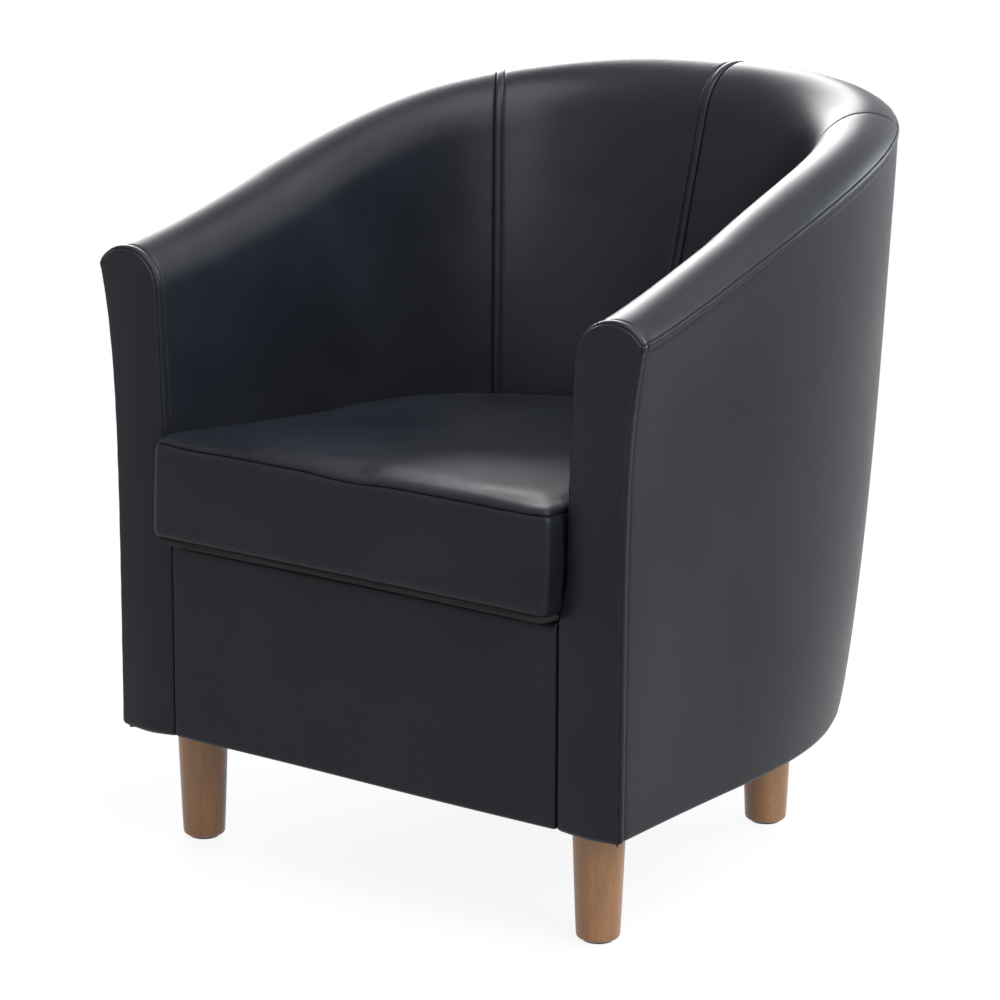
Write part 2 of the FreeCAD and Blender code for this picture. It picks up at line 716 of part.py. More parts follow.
def primitive(kind, label, spot, **rules):
    """A Part primitive at a spot, with its sizes bound to the sheet."""
    item = doc.addObject("Part::" + kind, label)
    for prop, rule in rules.items():
        item.setExpression(prop, rule)
    item.Placement.Base = Vector(*spot)
    return item


def cut_away(label, base, tool):
    item = doc.addObject("Part::Cut", label)
    item.Base = base
    item.Tool = tool
    return item


def at_legs(label, make):
    """One piece for each leg, kept together as a group of separate solids."""
    group = doc.addObject("Part::Compound", label)
    group.Links = [make(f"{label}_{name}", across, along) for name, (across, along) in LEG_SPOTS.items()]
    doc.recompute()
    return keep(group, label)


def circle_ring(radius, height):
    turns = [2 * math.pi * step / LEG_SIDES for step in range(LEG_SIDES)]
    return [Vector(radius * math.cos(turn), radius * math.sin(turn), height) for turn in turns]


def turned_leg(label, across, along):
    """A tapered leg with an eased foot edge and a bore for the bolt in its top."""
    foot, ease_edge = size("leg_foot_width") / 2, size("leg_round")
    tall = LEG_TOP - size("glide_height")
    steps = [math.radians(30 * step) for step in range(4)]
    profile = [(foot - ease_edge * (1 - math.sin(turn)), ease_edge * (1 - math.cos(turn))) for turn in steps]
    blank = skinned([circle_ring(*level) for level in profile + [(size("leg_top_width") / 2, tall)]])
    depth = size("bolt_in_leg")
    leg = blank.cut(Part.makeCylinder(BORE, depth, Vector(0, 0, tall - depth))).removeSplitter()
    return solid_piece(label, leg, Placement(Vector(across, along, size("glide_height")), Rotation()))


def glide(label, across, along):
    return primitive("Cylinder", label, (across, along, 0), Radius="Sizes.glide_width / 2",
                     Height="Sizes.glide_height")


def leg_block(label, across, along):
    half = size("block_side") / 2
    block = primitive("Box", label + "_blank", (across - half, along - half, BASE_HIGH),
                      Length="Sizes.block_side", Width="Sizes.block_side", Height="Sizes.block_height")
    bore = primitive("Cylinder", label + "_bore", (across, along, BASE_HIGH), Radius=BORE_RULE,
                     Height="Sizes.block_height")
    return cut_away(label, block, bore)


def hanger_bolt(label, across, along):
    low = LEG_TOP - size("bolt_in_leg") + SLACK
    rule = "Sizes.bolt_in_leg + Sizes.dust_thick + Sizes.leather + Sizes.ply + Sizes.block_height"
    rule += " + Sizes.nut_height + Sizes.bolt_end"
    return primitive("Cylinder", label, (across, along, low), Radius="Sizes.bolt_width / 2", Height=rule)


def tee_nut(label, across, along):
    half = size("nut_side") / 2
    plate = primitive("Box", label + "_plate", (across - half, along - half, BLOCK_TOP),
                      Length="Sizes.nut_side", Width="Sizes.nut_side", Height="Sizes.nut_height")
    bore = primitive("Cylinder", label + "_bore", (across, along, BLOCK_TOP), Radius=BORE_RULE,
                     Height="Sizes.nut_height")
    return cut_away(label, plate, bore)


for name, (across, along) in LEG_SPOTS.items():
    turned_leg("leg_" + name, across, along)
at_legs("leg_glides", glide)
at_legs("leg_blocks", leg_block)
at_legs("hanger_bolts", hanger_bolt)
at_legs("tee_nuts", tee_nut)


def holed(shape, drill):
    """A shape with a hole for each leg's bolt."""
    for across, along in LEG_SPOTS.values():
        tool = drill()
        tool.translate(Vector(across, along, 0))
        shape = shape.cut(tool)
    return shape


base_board.Shape = holed(base_board.Shape, lambda: Part.makeCylinder(BORE, BASE_HIGH))

# Battens that join the arm boards to the front rail
CLEAT_WIDTH, CLEAT_DEPTH = 36.0, 20.0
for side, name in ((-1, "left"), (1, "right")):
    low = BLOCK_TOP + size("nut_height") + size("bolt_end")
    high = deck_level(BOARD_BACK + CLEAT_DEPTH) - size("ply") - SLACK
    batten = Part.makeBox(CLEAT_WIDTH, CLEAT_DEPTH, high - low)
    batten.translate(Vector(side * BOARD_EDGE - CLEAT_WIDTH / 2, FRONT_Y + BOARD_BACK, low))
    solid_piece(f"front_cleat_{name}", batten)


# Dust cover under the body, slit for the bolts, and its staples
DUST_INSET = 12.0
STAPLE_INSET = DUST_INSET + 6.0
dust = flat_sheet("dust_cover", whole_wrap(share_at(DUST_INSET)),
                  lambda share: plan_reach(share, "base") - DUST_INSET,
                  lambda behind: LEG_TOP, size("dust_thick"))
solid_piece("dust_cover", holed(dust, lambda: Part.makeBox(2 * BORE, 2 * BORE, BASE_HIGH,
                                                           Vector(-BORE, -BORE, 0))))
crowns = []
for side in (-1, 1):
    for step in range(13):
        share = 0.06 + 0.07 * step
        spot, ahead = [place(side, mark, plan_reach(mark, "base") - STAPLE_INSET, LEG_TOP - STAPLE_HIGH)
                       for mark in (share, share + 0.01)]
        crowns.append(staple(spot, ahead - spot))
solid_piece("dust_staples", Part.makeCompound(crowns))


# Seat cushion, in its own level frame: x across, y behind the arm fronts, z from its underside
CORNER_STEPS = 4
CROWN_STEPS = 4


def cushion_outline():
    """Plan of the cushion: a straight front with rounded corners, then the inside of the wrap."""
    play, rear = size("cushion_play"), size("cushion_rear_play")
    corner = size("cushion_corner")
    half = []
    for step in range(CORNER_STEPS + 1):
        turn = math.radians(90 * step / CORNER_STEPS)
        half.append((SEAT_EDGE - play - corner + corner * math.sin(turn),
                     corner * (1 - math.cos(turn)) - size("cushion_proud")))
    for share in marks_from(0.0):
        spot = place(1, share, plan_reach(share, "seat") - between(play, rear, share), 0)
        half.append((spot.x, spot.y - FRONT_Y))
    return half + [(-across, behind) for across, behind in reversed(half[:-1])]


CUSHION_PLAN = cushion_outline()
CUSHION_MID = (size("seat_depth") - size("cushion_rear_play") - size("cushion_proud")) / 2
SEAT_PLACE = Placement(Vector(0, FRONT_Y, size("panel_top") + SLACK),
                       Rotation(Vector(1, 0, 0), -size("seat_pitch")))


def cushion_ring(height, drawn):
    """The cushion's outline at a height, drawn in evenly towards its middle."""
    scale = 1 - drawn / SEAT_EDGE
    return [Vector(across * scale, CUSHION_MID + (behind - CUSHION_MID) * scale, height)
            for across, behind in CUSHION_PLAN]


def cushion_piece(label, levels, hollow=False):
    """A cushion piece skinned over outlines, each given by its height and how far it is drawn in."""
    rings = [cushion_ring(height, drawn) for height, drawn in levels]
    solid = skinned(rings, hollow).removeSplitter()
    return solid_piece(label, solid, SEAT_PLACE)


def underside(depth):
    """Levels of the bottom panel from its flat middle out to the lower seam."""
    rise = size("cushion_base")
    return [(depth, 14.0 + depth), (0.3 * rise + depth, 4.0 + depth), (rise + depth, depth)]


def crown(depth):
    """Levels of the top panel from the upper seam to its middle: a quarter of an ellipse."""
    turns = [math.radians(90 * step / CROWN_STEPS) for step in range(1, CROWN_STEPS + 1)]
    level = size("cushion_height") - depth
    rise = size("cushion_crown")
    return [(level + rise * math.sin(turn), (SEAT_EDGE - 12.0) * (1 - math.cos(turn)) + depth)
            for turn in turns]


SEAM_LOW, SEAM_HIGH = size("cushion_base"), size("cushion_height")
WAIST = (SEAM_LOW + SEAM_HIGH) / 2
SWELL = size("cushion_swell")
BORDER_LOW, BORDER_HIGH = SEAM_LOW + PAD_DEPTH, SEAM_HIGH - PAD_DEPTH
cushion_piece("cushion_bottom", underside(0.0) + [(SEAM_LOW + LEATHER, 0.0)]
              + underside(LEATHER)[1::-1])
cushion_piece("cushion_border", [
    (BORDER_LOW, 0.0), (WAIST, -SWELL), (BORDER_HIGH, 0.0),
    (BORDER_HIGH, LEATHER), (WAIST, LEATHER - SWELL), (BORDER_LOW, LEATHER)], hollow=True)
cushion_piece("cushion_top", crown(LEATHER)[::-1] + [(SEAM_HIGH - LEATHER, 0.0), (SEAM_HIGH, 0.0)]
              + crown(0.0))
cushion_piece("cushion_foam", underside(PAD_DEPTH) + [(WAIST, PAD_DEPTH - SWELL),
                                                      (SEAM_HIGH - PAD_DEPTH, PAD_DEPTH)]
              + crown(PAD_DEPTH))

# Zip round the back of the border, with its slider, on an arc about the middle of the wrap
ZIP_CENTRE = size("side_run")
ZIP_INNER = SLACK + SWELL + max(math.hypot(across, behind - ZIP_CENTRE) for across, behind
                                in CUSHION_PLAN if behind > ZIP_CENTRE + size("side_run") / 2)
ZIP_OUTER = ZIP_INNER + size("zip_thick")
ZIP_REACH = size("zip_reach")


def arc_piece(inner, outer, height, start, sweep):
    """Part of a ring about the zip's centre, by angles from the middle of the back."""
    turn = math.radians(start)
    corners = [Vector(-radius * math.sin(turn), ZIP_CENTRE + radius * math.cos(turn), level)
               for radius, level in ((inner, WAIST - height / 2), (outer, WAIST - height / 2),
                                     (outer, WAIST + height / 2), (inner, WAIST + height / 2))]
    face = Part.Face(Part.makePolygon(corners + corners[:1]))
    return face.revolve(Vector(0, ZIP_CENTRE, 0), Vector(0, 0, 1), sweep)


zip_tape = arc_piece(ZIP_INNER, ZIP_OUTER, size("zip_height"), -ZIP_REACH, 2 * ZIP_REACH)
solid_piece("cushion_zip", zip_tape, SEAT_PLACE)
slider = arc_piece(ZIP_OUTER + SLACK, ZIP_OUTER + SLACK + 2.2, 8.0, 1.0 - ZIP_REACH, 2.2)
pull = arc_piece(ZIP_OUTER + SLACK + 0.8, ZIP_OUTER + SLACK + 1.8, 4.0, 3.0 - ZIP_REACH, 4.2)
solid_piece("zip_slider", slider.fuse(pull).removeSplitter(), SEAT_PLACE)


failed = [piece.Label for piece in doc.Objects if "Invalid" in piece.State or "Error" in piece.State]
for piece in PIECES:
    if piece.Shape.isNull() or not piece.Shape.isValid():
        failed.append(piece.Label)
if failed:
    raise RuntimeError("failed: " + ", ".join(failed))

os.makedirs("parts", exist_ok=True)
for piece in PIECES:
    piece.Shape.exportStep(os.path.join("parts", piece.Label + ".step"))
    print(piece.Label, round(piece.Shape.Volume / 1000, 1), "cm3", len(piece.Shape.Solids))
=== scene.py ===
import math

import bpy
import numpy as np
from mathutils import Matrix, Vector


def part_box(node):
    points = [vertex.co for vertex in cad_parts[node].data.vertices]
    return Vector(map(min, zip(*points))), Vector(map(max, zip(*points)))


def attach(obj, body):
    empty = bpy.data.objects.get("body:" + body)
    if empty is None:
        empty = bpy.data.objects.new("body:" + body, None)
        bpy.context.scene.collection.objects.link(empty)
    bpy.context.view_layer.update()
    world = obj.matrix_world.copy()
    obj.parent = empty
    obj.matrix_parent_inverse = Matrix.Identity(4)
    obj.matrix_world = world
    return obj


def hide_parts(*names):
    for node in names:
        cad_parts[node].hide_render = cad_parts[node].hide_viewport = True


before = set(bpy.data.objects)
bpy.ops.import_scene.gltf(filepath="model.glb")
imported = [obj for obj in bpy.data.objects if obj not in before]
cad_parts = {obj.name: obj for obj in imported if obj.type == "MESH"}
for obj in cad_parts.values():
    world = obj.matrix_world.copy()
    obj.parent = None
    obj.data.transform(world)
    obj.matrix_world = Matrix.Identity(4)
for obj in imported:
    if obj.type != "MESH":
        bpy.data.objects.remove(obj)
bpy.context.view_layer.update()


# Wooden frame: rings, ribs, arm boards, rail and blocks of birch plywood and sawn softwood, glued and
# stapled together. All of it is hidden by the upholstery.
FRAME_PIECES = ("base_ring", "seat_ring", "top_hoop", "back_rib", "back_rib_left", "back_rib_right",
                "corner_rib_left", "corner_rib_right", "arm_rib_left", "arm_rib_right",
                "arm_board_left", "arm_board_right", "front_rail", "front_cleat_left",
                "front_cleat_right", "leg_blocks")


def new_material(name, sockets):
    """A material with one Principled shader, whose sockets are set by name, and the shader."""
    material = bpy.data.materials.new(name)
    material.use_nodes = True
    shader = material.node_tree.nodes["Principled BSDF"]
    for socket, value in sockets.items():
        shader.inputs[socket].default_value = value
    return material, shader


def add(material, kind, inputs=None, **settings):
    """A node of a kind. Each input takes a value, or the socket that it reads from."""
    made = material.node_tree.nodes.new(kind)
    for name, value in settings.items():
        setattr(made, name, value)
    for key, value in (inputs or {}).items():
        if isinstance(value, bpy.types.NodeSocket):
            material.node_tree.links.new(value, made.inputs[key])
        else:
            made.inputs[key].default_value = value
    return made


def link(material, output, socket):
    material.node_tree.links.new(output, socket)


def ramp(material, factor, stops):
    """A colour ramp over a factor; each stop is a position and a colour."""
    made = add(material, "ShaderNodeValToRGB", {"Fac": factor})
    elements = made.color_ramp.elements
    while len(elements) < len(stops):
        elements.new(0.5)
    for element, (position, colour) in zip(elements, stops):
        element.position = position
        element.color = (*colour, 1.0)
    return made.outputs["Color"]


def coordinates(material, scale, turn=(0.0, 0.0, 0.0)):
    """Object coordinates, scaled and turned."""
    where = add(material, "ShaderNodeTexCoord")
    mapped = add(material, "ShaderNodeMapping", {"Vector": where.outputs["Object"], "Scale": scale,
                                                 "Rotation": turn})
    return mapped.outputs["Vector"]


def bumped(material, shader, height, strength, distance, below=None):
    """Bump from a height, in metres at full strength, over another bump."""
    inputs = {"Height": height, "Strength": strength, "Distance": distance}
    if below is not None:
        inputs["Normal"] = below
    made = add(material, "ShaderNodeBump", inputs)
    link(material, made.outputs["Normal"], shader.inputs["Normal"])
    return made.outputs["Normal"]


def birch_ply():
    material, shader = new_material("birch_ply", {"Roughness": 0.62, "Specular IOR Level": 0.3})
    grain = add(material, "ShaderNodeTexNoise", {
        "Vector": coordinates(material, (18.0, 18.0, 150.0)), "Scale": 1.0, "Detail": 5.0,
        "Roughness": 0.6, "Distortion": 0.6})
    colour = ramp(material, grain.outputs["Fac"], [(0.3, (0.42, 0.27, 0.15)), (0.55, (0.60, 0.43, 0.26)),
                                                   (0.8, (0.70, 0.54, 0.36))])
    link(material, colour, shader.inputs["Base Color"])
    bumped(material, shader, grain.outputs["Fac"], 0.35, 0.0006)
    return material


def dress(names, material):
    for name in names:
        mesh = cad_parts[name].data
        mesh.materials.clear()
        mesh.materials.append(material)


dress(FRAME_PIECES, birch_ply())


# Board, webbing and fastenings: thin grey fibreboard carries the outside cover, and woven elastic
# straps with bright staples carry the seat and the inside foam.
def fibreboard():
    material, shader = new_material("fibreboard", {"Roughness": 0.85, "Specular IOR Level": 0.2})
    fibres = add(material, "ShaderNodeTexNoise", {
        "Vector": coordinates(material, (240.0, 240.0, 240.0)), "Scale": 1.0, "Detail": 4.0,
        "Roughness": 0.7, "Distortion": 1.5})
    colour = ramp(material, fibres.outputs["Fac"], [(0.35, (0.22, 0.15, 0.09)), (0.7, (0.38, 0.28, 0.18))])
    link(material, colour, shader.inputs["Base Color"])
    bumped(material, shader, fibres.outputs["Fac"], 0.4, 0.0003)
    return material


def woven(name, dark, light, pitch, roughness):
    """A plain weave: two crossed sine waves, one for each thread direction."""
    material, shader = new_material(name, {"Roughness": roughness, "Specular IOR Level": 0.25})
    across = coordinates(material, (1.0, 1.0, 1.0))
    waves = [add(material, "ShaderNodeTexWave", {
        "Vector": across, "Scale": 0.31416 / pitch, "Distortion": 0.0}, bands_direction=direction)
        for direction in ("X", "Y")]
    crossed = add(material, "ShaderNodeMath", {0: waves[0].outputs["Fac"], 1: waves[1].outputs["Fac"]},
                  operation="MULTIPLY")
    slub = add(material, "ShaderNodeTexNoise", {"Vector": across, "Scale": 300.0, "Detail": 3.0})
    mixed = add(material, "ShaderNodeMath", {0: crossed.outputs[0], 1: slub.outputs["Fac"]},
                operation="ADD")
    link(material, ramp(material, mixed.outputs[0], [(0.3, dark), (1.0, light)]),
         shader.inputs["Base Color"])
    bumped(material, shader, crossed.outputs[0], 0.6, pitch / 4)
    return material


def bright_steel(name, tint, roughness):
    material, shader = new_material(name, {"Base Color": (*tint, 1.0), "Metallic": 1.0})
    scratches = add(material, "ShaderNodeTexNoise", {
        "Vector": coordinates(material, (900.0, 900.0, 200.0)), "Scale": 1.0, "Detail": 3.0})
    spread = add(material, "ShaderNodeMapRange", {
        "Value": scratches.outputs["Fac"], "To Min": roughness - 0.08, "To Max": roughness + 0.12})
    link(material, spread.outputs["Result"], shader.inputs["Roughness"])
    bumped(material, shader, scratches.outputs["Fac"], 0.2, 0.0002)
    return material


dress(["side_board_left", "side_board_right", "back_board"], fibreboard())
dress(["inside_webbing", "long_webbing", "cross_webbing"],
      woven("elastic_webbing", (0.010, 0.010, 0.012), (0.05, 0.05, 0.055), 0.0022, 0.7))
dress(["webbing_staples", "dust_staples"], bright_steel("staple_wire", (0.62, 0.62, 0.64), 0.3))
dress(["tee_nuts", "hanger_bolts"], bright_steel("zinc_plate", (0.60, 0.60, 0.57), 0.38))


# Wrap of the upholstery: the plan follows the arms straight back and then a squared curve round the
# seat, and every layer is a section in upright planes across it, drawn from the rolled top edge.
front_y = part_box("facing_left")[0].y
floor_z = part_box("outside_cover")[0].z
arm_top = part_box("facing_left")[1].z
back_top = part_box("back_cover_left")[1].z
# Outlines in plan: width at the arm fronts, width at the waist where the curve starts, and depth.
RIM = (0.658, 0.650, 0.680)
BASE = (0.619, 0.608, 0.590)
SEAT = (0.491, 0.470, 0.490)
# Length of the straight arm, and its share of the way round to the middle of the back.
SIDE_RUN, SIDE_SHARE = 0.200, 0.284
SQUARENESS, RISE_POWER = 2.5, 1.3
SEAM_TURN = 54.5
SEAM_SHARE = SIDE_SHARE + (1 - SIDE_SHARE) * SEAM_TURN / 90
# At the arm's front and at the back: radius of the rolled edge, drop from its ridge to the outer seam,
# and power of the outer side's flare.
ROLL = (0.042, 0.061)
DROP = (0.018, 0.014)
LEAN = (6.0, 0.35)
# Levels at the arm fronts, from which the seat falls backwards.
CREST_LEVEL, DECK_LEVEL = 0.418, 0.324
SEAT_PITCH = math.radians(3.0)
SEAT_FALL = math.tan(SEAT_PITCH)
CREST_BEND = 0.07
# Thickness of the covers, and depths of the foam's face under them: the CAD's, and the one drawn here.
LEATHER = 0.0014
PAD_DEPTH, FOAM_DEPTH = 0.0017, 0.0048


def ease(share):
    """Rise from 0 at the arm's front to 1 at the back, as a power of a quarter sine."""
    return np.sin(np.pi / 2 * np.clip(share, 0, 1)) ** RISE_POWER


def between(ends, share):
    """Value between one for the arm's front and one for the back."""
    return ends[0] + (ends[1] - ends[0]) * ease(share)


def turn_at(share):
    """Turn of the upright plane across the wrap: none on the straight arm, a quarter at the back."""
    return np.pi / 2 * np.clip((share - SIDE_SHARE) / (1 - SIDE_SHARE), 0, 1)


def plan_reach(share, outline):
    """Reach of an outline given as front width, waist and depth: half the waist, wider on the arm by
    the square of the way ahead, and beyond the arm a superellipse."""
    width, waist, depth = outline
    ahead = np.clip(1 - share / SIDE_SHARE, 0, 1)
    turn = turn_at(share)
    curve = ((np.cos(turn) * 2 / waist) ** SQUARENESS
             + (np.sin(turn) / (depth - SIDE_RUN)) ** SQUARENESS) ** (-1 / SQUARENESS)
    return curve + (width - waist) / 2 * ahead ** 2


def placed(way, reach, height):
    """Points from the way round the wrap (-1 left front, 0 middle of the back, 1 right front)."""
    share = 1 - np.abs(way)
    turn = turn_at(share)
    straight = SIDE_RUN * np.clip(share / SIDE_SHARE, 0, 1)
    return np.stack(np.broadcast_arrays(np.where(way < 0, -1.0, 1.0) * reach * np.cos(turn),
                                        front_y + straight + reach * np.sin(turn), height), axis=-1)


def ridge(share):
    return between((arm_top, back_top), share)


def rim_height(share):
    return ridge(share) - between(DROP, share)


def roll_centre(share):
    """Reach and height of the rolled edge's centre, and its radius."""
    radius = between(ROLL, share)
    above = radius - between(DROP, share)
    return plan_reach(share, RIM) - np.sqrt(radius ** 2 - above ** 2), ridge(share) - radius, radius


def crest(share):
    """Reach and height where the inside face starts to lean, and how far behind the arm fronts."""
    reach = plan_reach(share, SEAT)
    behind = SIDE_RUN * np.clip(share / SIDE_SHARE, 0, 1) + reach * np.sin(turn_at(share))
    return reach, CREST_LEVEL - SEAT_FALL * behind, behind


def seat_level(behind):
    return DECK_LEVEL - SEAT_FALL * behind


def inner_run(share, depth, foot):
    """Reach and height along the rolled edge and the inside face, at a depth under the cover: an arc
    from the outer seam, a tangent down to the crest, rounded there, and an upright to its foot."""
    mid_reach, mid_height, radius = roll_centre(share)
    crest_reach, crest_height, _ = crest(share)
    span = np.hypot(mid_reach - crest_reach, mid_height - crest_height)
    lean = np.arctan2(mid_reach - crest_reach, mid_height - crest_height) - np.arcsin(radius / span)
    start = np.arcsin((rim_height(share) - mid_height) / radius)
    step = np.linspace(0, 1, 60)
    turn = start[:, None] + (np.pi - lean - start)[:, None] * step
    inner = (radius - depth)[:, None]
    arc = np.stack([mid_reach[:, None] + inner * np.cos(turn),
                    mid_height[:, None] + inner * np.sin(turn)], -1)
    corner = np.stack([crest_reach + depth, crest_height - depth * np.tan(lean / 2)], -1)
    tangent = arc[:, -1] - corner
    tall = np.linalg.norm(tangent, axis=-1)
    bend_reach = np.minimum(CREST_BEND, 0.6 * tall)[:, None]
    above = corner + tangent / tall[:, None] * bend_reach
    below = corner - np.array([0.0, 1.0]) * bend_reach
    line = arc[:, -1:] + (above - arc[:, -1])[:, None] * np.linspace(0, 1, 20)[1:, None]
    bend = np.linspace(0, 1, 24)[1:, None]
    curve = ((1 - bend) ** 2 * above[:, None] + 2 * bend * (1 - bend) * corner[:, None]
             + bend ** 2 * below[:, None])
    bottom = np.stack([crest_reach + depth, foot], -1)
    upright = below[:, None] + (bottom - below)[:, None] * np.linspace(0, 1, 20)[1:, None]
    return np.concatenate([arc, line, curve, upright], axis=1)


def outer_run(share, depth, top_gap):
    """Reach and height up the outer side: the base outline grows to the rim by a power of the rise."""
    lean = LEAN[0] * (LEAN[1] / LEAN[0]) ** ease(share)
    base, rim = plan_reach(share, BASE), plan_reach(share, RIM)
    tall = rim_height(share) - floor_z
    rise = np.linspace(0, 1, 140) ** 1.6 * (1 - top_gap / tall)[:, None]
    reach = base[:, None] + (rim - base)[:, None] * rise ** lean[:, None] - depth
    return np.stack([reach, floor_z + tall[:, None] * rise], -1)


# Foam: one wrapped pad lies behind the four inside covers, and thin pads lie under the facings and
# the front panel. Cut polyurethane, glued to the boards.
def upholstery_foam():
    material, shader = new_material("upholstery_foam", {"Roughness": 0.9, "Specular IOR Level": 0.15})
    cells = add(material, "ShaderNodeTexVoronoi", {
        "Vector": coordinates(material, (1.0, 1.0, 1.0)), "Scale": 900.0})
    colour = ramp(material, cells.outputs["Distance"], [(0.0, (0.45, 0.40, 0.26)),
                                                        (0.6, (0.80, 0.75, 0.58))])
    link(material, colour, shader.inputs["Base Color"])
    bumped(material, shader, cells.outputs["Distance"], 0.5, 0.0004)
    return material


FOAM = upholstery_foam()
# Foam over the arm and over the back, its start behind the arm fronts, and its foot under the deck.
PAD = (0.018, 0.030)
PAD_START, PAD_FOOT = 0.0097, 0.0043
SLACK = 0.0003


def mesh_piece(name, points, faces, material, body, slot_name):
    """A mesh object of quads in the row frame, smooth shaded, riding on a body."""
    mesh = bpy.data.meshes.new(name)
    mesh.vertices.add(len(points))
    mesh.vertices.foreach_set("co", points.astype(np.float32).ravel())
    mesh.loops.add(faces.size)
    mesh.loops.foreach_set("vertex_index", faces.astype(np.int32).ravel())
    mesh.polygons.add(len(faces))
    mesh.polygons.foreach_set("loop_start", np.arange(0, faces.size, 4, dtype=np.int32))
    mesh.polygons.foreach_set("use_smooth", np.ones(len(faces), bool))
    mesh.materials.append(material)
    mesh.update(calc_edges=True)
    piece = bpy.data.objects.new(name, mesh)
    bpy.context.scene.collection.objects.link(piece)
    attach(piece, body)
    return piece


def grid_faces(rows, columns, start=0, around=False):
    """Quads over a grid of points kept row by row; around joins the last column to the first."""
    index = start + np.arange(rows * columns).reshape(rows, columns)
    if around:
        index = np.concatenate([index, index[:, :1]], axis=1)
    return np.stack([index[:-1, :-1], index[:-1, 1:], index[1:, 1:], index[1:, :-1]], -1).reshape(-1, 4)


def outwards(points, faces):
    """Faces turned over if the closed surface they make is inside out, by the sign of its volume."""
    a, b, c, d = (points[faces[:, corner]] for corner in range(4))
    volume = (np.einsum("ij,ij->i", a, np.cross(b, c)).sum()
              + np.einsum("ij,ij->i", a, np.cross(c, d)).sum())
    return faces if volume > 0 else faces[:, ::-1]


def cap(loop, start):
    """Quads across a closed loop of an even count, joining it side to side from one end."""
    half = loop // 2
    near = start + np.arange(half)
    far = start + loop - 1 - np.arange(half)
    return np.stack([near[:-1], near[1:], far[1:], far[:-1]], -1)


ways = np.linspace(-1, 1, 121)
ways = ways[(1 - np.abs(ways)) * SIDE_RUN / SIDE_SHARE > PAD_START]
share = 1 - np.abs(ways)
pad = between(PAD, share) - SLACK
foot = seat_level(crest(share)[2]) - PAD_FOOT
runs = [inner_run(share, depth, foot)[:, ::3] for depth in (FOAM_DEPTH, PAD_DEPTH + pad)]
section = np.concatenate([runs[0], runs[1][:, ::-1]], axis=1)
loop = section.shape[1]
points = placed(ways[:, None], section[..., 0], section[..., 1]).reshape(-1, 3)
faces = np.concatenate([grid_faces(len(ways), loop, around=True), cap(loop, 0)[:, ::-1],
                        cap(loop, (len(ways) - 1) * loop)])
inside_foam = mesh_piece("inside_foam", points, outwards(points, faces), FOAM, "root", "foam")
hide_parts("arm_foam_left", "arm_foam_right", "back_foam_left", "back_foam_right")


# Flat pads: a rounded blank of foam in the outline of each arm front, and one under the front panel.
FACING_PAD = 0.0077
PAD_INSET, PAD_RAISED = 0.006, 0.002
SEAT_EDGE = SEAT[0] / 2
PANEL_EDGE = 0.237
PANEL_TOP = 0.324
# Share of the roll's radius at which an arm front's sides end, and the height over the panel and the
# length of the swing that brings its inner side to the panel's edge.
DIAGONAL = 0.55
SWING_ABOVE, SWING_LENGTH = 0.05, 0.055


def arm_front_outline(depth, foot, towards_panel=0.0):
    """Four edges of an arm's front at a depth inside its outline, each as reach and height: foot,
    inner side, top arc and outer side. The sides meet the top at the roll's upper diagonals. Beside
    the front panel the inner side lies nearer to it by towards_panel."""
    front = np.zeros(1)
    run = inner_run(front, depth, np.array([foot]))[0]
    side = outer_run(front, depth, np.array([depth * 0.6]))[0]
    side = side[side[:, 1] > foot]
    around = np.concatenate([[[side[0, 0], foot]], side, run])
    _, mid_height, radius = (float(value[0]) for value in roll_centre(front))
    over = around[:, 1] > mid_height + DIAGONAL * radius
    first, last = np.argmax(over), len(over) - np.argmax(over[::-1])
    outer, top, inner = around[:first + 1], around[first:last], around[last - 1:]
    swing = np.clip((PANEL_TOP + SWING_ABOVE - inner[:, 1]) / SWING_LENGTH, 0, 1)
    shift = (SEAT_EDGE - PANEL_EDGE + towards_panel) * swing ** 2 * (3 - 2 * swing)
    inner = inner - np.stack([shift, 0 * shift], -1)
    bottom = np.stack([np.linspace(inner[-1, 0], outer[0, 0], 30), np.full(30, foot)], -1)
    return bottom, inner[::-1], top[::-1], outer


def lengths(line):
    """Length of a polyline up to each of its points."""
    return np.concatenate([[0], np.cumsum(np.linalg.norm(np.diff(line, axis=0), axis=1))])


def along_line(at, length, values):
    """Values kept at the points of a polyline, read at lengths along it."""
    return np.stack([np.interp(at, length, values[:, axis]) for axis in range(values.shape[1])], -1)


def even(line, at):
    """Points of a polyline at shares of its length."""
    length = lengths(line)
    return along_line(at * length[-1], length, line)


def patch(bottom, left, top, right, across, up):
    """Coons patch: the sum of two rulings less the bilinear one, over its four edges."""
    low, high = even(bottom, across)[None], even(top, across)[None]
    near, far = even(left, up)[:, None], even(right, up)[:, None]
    x, y = across[None, :, None], up[:, None, None]
    corners = ((1 - x) * (1 - y) * low[:, :1] + x * (1 - y) * low[:, -1:]
               + (1 - x) * y * high[:, :1] + x * y * high[:, -1:])
    return (1 - y) * low + y * high + (1 - x) * near + x * far - corners


def edge_first(count, power=1.7):
    """Shares from 0 to 1 that lie closer together at both ends."""
    step = np.linspace(-1, 1, count)
    return 0.5 + 0.5 * np.sign(step) * (1 - (1 - np.abs(step)) ** power)


def closed_slab(front, back):
    """Points and faces of two like grids joined by a rim."""
    rows, columns = front.shape[:2]
    points = np.concatenate([front.reshape(-1, 3), back.reshape(-1, 3)])
    index = np.arange(rows * columns).reshape(rows, columns)
    rim = np.concatenate([index[0], index[1:, -1], index[-1, -2::-1], index[-2:0:-1, 0]])
    after = np.roll(rim, -1)
    shift = rows * columns
    sheet = grid_faces(rows, columns)
    sides = np.stack([rim, rim + shift, after + shift, after], -1)
    faces = np.concatenate([sheet, sheet[:, ::-1] + shift, sides])
    return points, outwards(points, faces)


